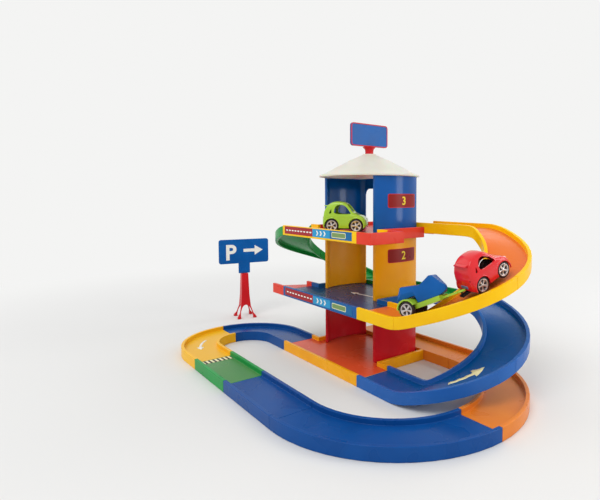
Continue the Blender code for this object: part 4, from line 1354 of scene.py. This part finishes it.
@dataclass
class Studio:
    """The plain floor, the soft lamps and the camera."""

    camera_place: Point3 = (0.744, -0.611, 0.321)
    camera_turn: float = 51.0
    camera_tilt: float = -3.5
    lens_mm: float = 28.4
    shift: Point2 = (-0.11, -0.04)
    sensor_mm: float = 36.0
    aim: Point3 = (0.0, 0.0, 0.2)
    floor_size: float = 30.0
    floor_gap: float = 0.2 * MM
    floor_colour: str = "#E2E2E1"
    surround_colour: str = "#F4F4F3"
    sky_strength: float = 0.74
    fade: Point2 = (0.62, 1.5)

    def build(self) -> None:
        """Makes the studio."""
        self.floor()
        self.sky()
        self.lamp("key_lamp", (0.6, -1.6, 2.1), 21.0, 1.2, 1.2)
        self.lamp("fill_lamp", (-1.8, -1.3, 1.6), 5.0, 1.5, 1.5)
        self.lamp("back_lamp", (-0.1, 1.9, 1.2), 8.0, 0.5, 1.6)
        self.lamp("strip_lamp", (1.35, 1.05, 0.75), 9.0, 0.45, 1.6)
        self.camera()
        bpy.context.scene.view_settings.view_transform = "Standard"

    def floor(self) -> None:
        """The pale floor, which keeps the object's shadow and fades into the surround."""
        half = self.floor_size / 2
        mesh = bpy.data.meshes.new("studio_floor")
        mesh.from_pydata([(-half, -half, 0), (half, -half, 0), (half, half, 0), (-half, half, 0)], [],
                         [(0, 1, 2, 3)])
        mesh.materials.append(self.floor_material())
        floor = new_object("studio_floor", mesh)
        floor.location.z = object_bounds()[0].z - self.floor_gap
        floor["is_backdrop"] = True

    def floor_material(self) -> bpy.types.Material:
        """Matt paint near the object, which turns into the surround's own brightness further out.

        Returns:
            The material.
        """
        made = bpy.data.materials.new("matt_painted_floor")
        made.use_nodes = True
        tree = made.node_tree
        tree.nodes.clear()
        place = add_node(tree, "ShaderNodeTexCoord").outputs["Object"]
        reach = add_node(tree, "ShaderNodeVectorMath", {"operation": "LENGTH"}, {"Vector": place})
        far = add_node(tree, "ShaderNodeMapRange",
                       {"interpolation_type": "SMOOTHSTEP", "From Min": self.fade[0],
                        "From Max": self.fade[1]}, {"Value": reach.outputs["Value"]})
        seen = add_node(tree, "ShaderNodeMath", {"operation": "MULTIPLY"}, {"Value": far.outputs["Result"]})
        tree.links.new(self.looking_rays(tree), seen.inputs[1])
        paint = add_node(tree, "ShaderNodeBsdfPrincipled", {"Base Color": linear(self.floor_colour),
                                                            "Roughness": 0.8, "Specular IOR Level": 0.2})
        glow = add_node(tree, "ShaderNodeEmission", {"Color": linear(self.surround_colour), "Strength": 1.0})
        self.mix(tree, seen.outputs[0], paint, glow, "ShaderNodeOutputMaterial")
        return made

    def mix(self, tree: bpy.types.NodeTree, share: bpy.types.NodeSocket, light: bpy.types.Node,
            shown: bpy.types.Node, output: str) -> None:
        """Mixes what lights the object with what is shown behind it, and puts it out.

        Args:
            tree: the node tree of the floor or the world.
            share: how much of the second is shown.
            light: the shader that lights the object.
            shown: the shader that is shown.
            output: the output node's type.
        """
        mixed = add_node(tree, "ShaderNodeMixShader", None, {"Fac": share})
        tree.links.new(light.outputs[0], mixed.inputs[1])
        tree.links.new(shown.outputs[0], mixed.inputs[2])
        add_node(tree, output, None, {"Surface": mixed.outputs[0]})

    def looking_rays(self, tree: bpy.types.NodeTree) -> bpy.types.NodeSocket:
        """1 for rays that show the surround: from the camera, in gloss and through the milky roof.

        Args:
            tree: the node tree of the floor or the world.
        Returns:
            The socket.
        """
        rays = add_node(tree, "ShaderNodeLightPath").outputs
        seen = rays["Is Camera Ray"]
        for kind in ("Is Glossy Ray", "Is Transmission Ray"):
            either = add_node(tree, "ShaderNodeMath", {"operation": "MAXIMUM"}, {"Value": seen})
            tree.links.new(rays[kind], either.inputs[1])
            seen = either.outputs[0]
        return seen

    def sky(self) -> None:
        """A pale surround that lights softly from all sides."""
        world = bpy.data.worlds.new("studio_surround")
        bpy.context.scene.world = world
        world.use_nodes = True
        tree = world.node_tree
        tree.nodes.clear()
        light = add_node(tree, "ShaderNodeBackground",
                         {"Color": linear("#FFFFFF"), "Strength": self.sky_strength})
        shown = add_node(tree, "ShaderNodeBackground",
                         {"Color": linear(self.surround_colour), "Strength": 1.0})
        self.mix(tree, self.looking_rays(tree), light, shown, "ShaderNodeOutputWorld")

    def lamp(self, name: str, place: Point3, power: float, width: float, height: float) -> None:
        """A rectangular soft lamp aimed at the tower.

        Args:
            name: the lamp's name.
            place: where it hangs.
            power: watts.
            width: its width in metres.
            height: its height in metres.
        """
        light = bpy.data.lights.new(name, "AREA")
        light.energy = power
        light.shape = "RECTANGLE"
        light.size = width
        light.size_y = height
        lamp = new_object(name, light)
        lamp.location = place
        beam = Vector(self.aim) - Vector(place)
        lamp.rotation_euler = beam.to_track_quat("-Z", "Y").to_euler()

    def camera(self) -> None:
        """The camera at the picture's angle, close in as the picture's perspective shows."""
        data = bpy.data.cameras.new("picture_camera")
        data.lens = self.lens_mm
        data.sensor_width = self.sensor_mm
        data.shift_x, data.shift_y = self.shift
        data.clip_start = 0.02
        data.clip_end = 100.0
        camera = new_object("picture_camera", data)
        camera.location = self.camera_place
        camera.rotation_euler = (math.radians(90 + self.camera_tilt), 0.0, math.radians(self.camera_turn))
        bpy.context.scene.camera = camera


def main() -> None:
    """Builds the whole scene."""
    logging.basicConfig(level=logging.INFO, format="%(message)s")
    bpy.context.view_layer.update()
    Studio().build()
    Tower().build()
    Track().build()
    Roof().build()
    ParkingSign().build()
    ToyCar("green_car", Plastics.LIME, "lime").build()
    ToyCar("red_car", Plastics.CAR_RED, "car_red").build()
    Trailer().build()


if __name__ == "__main__":
    main()
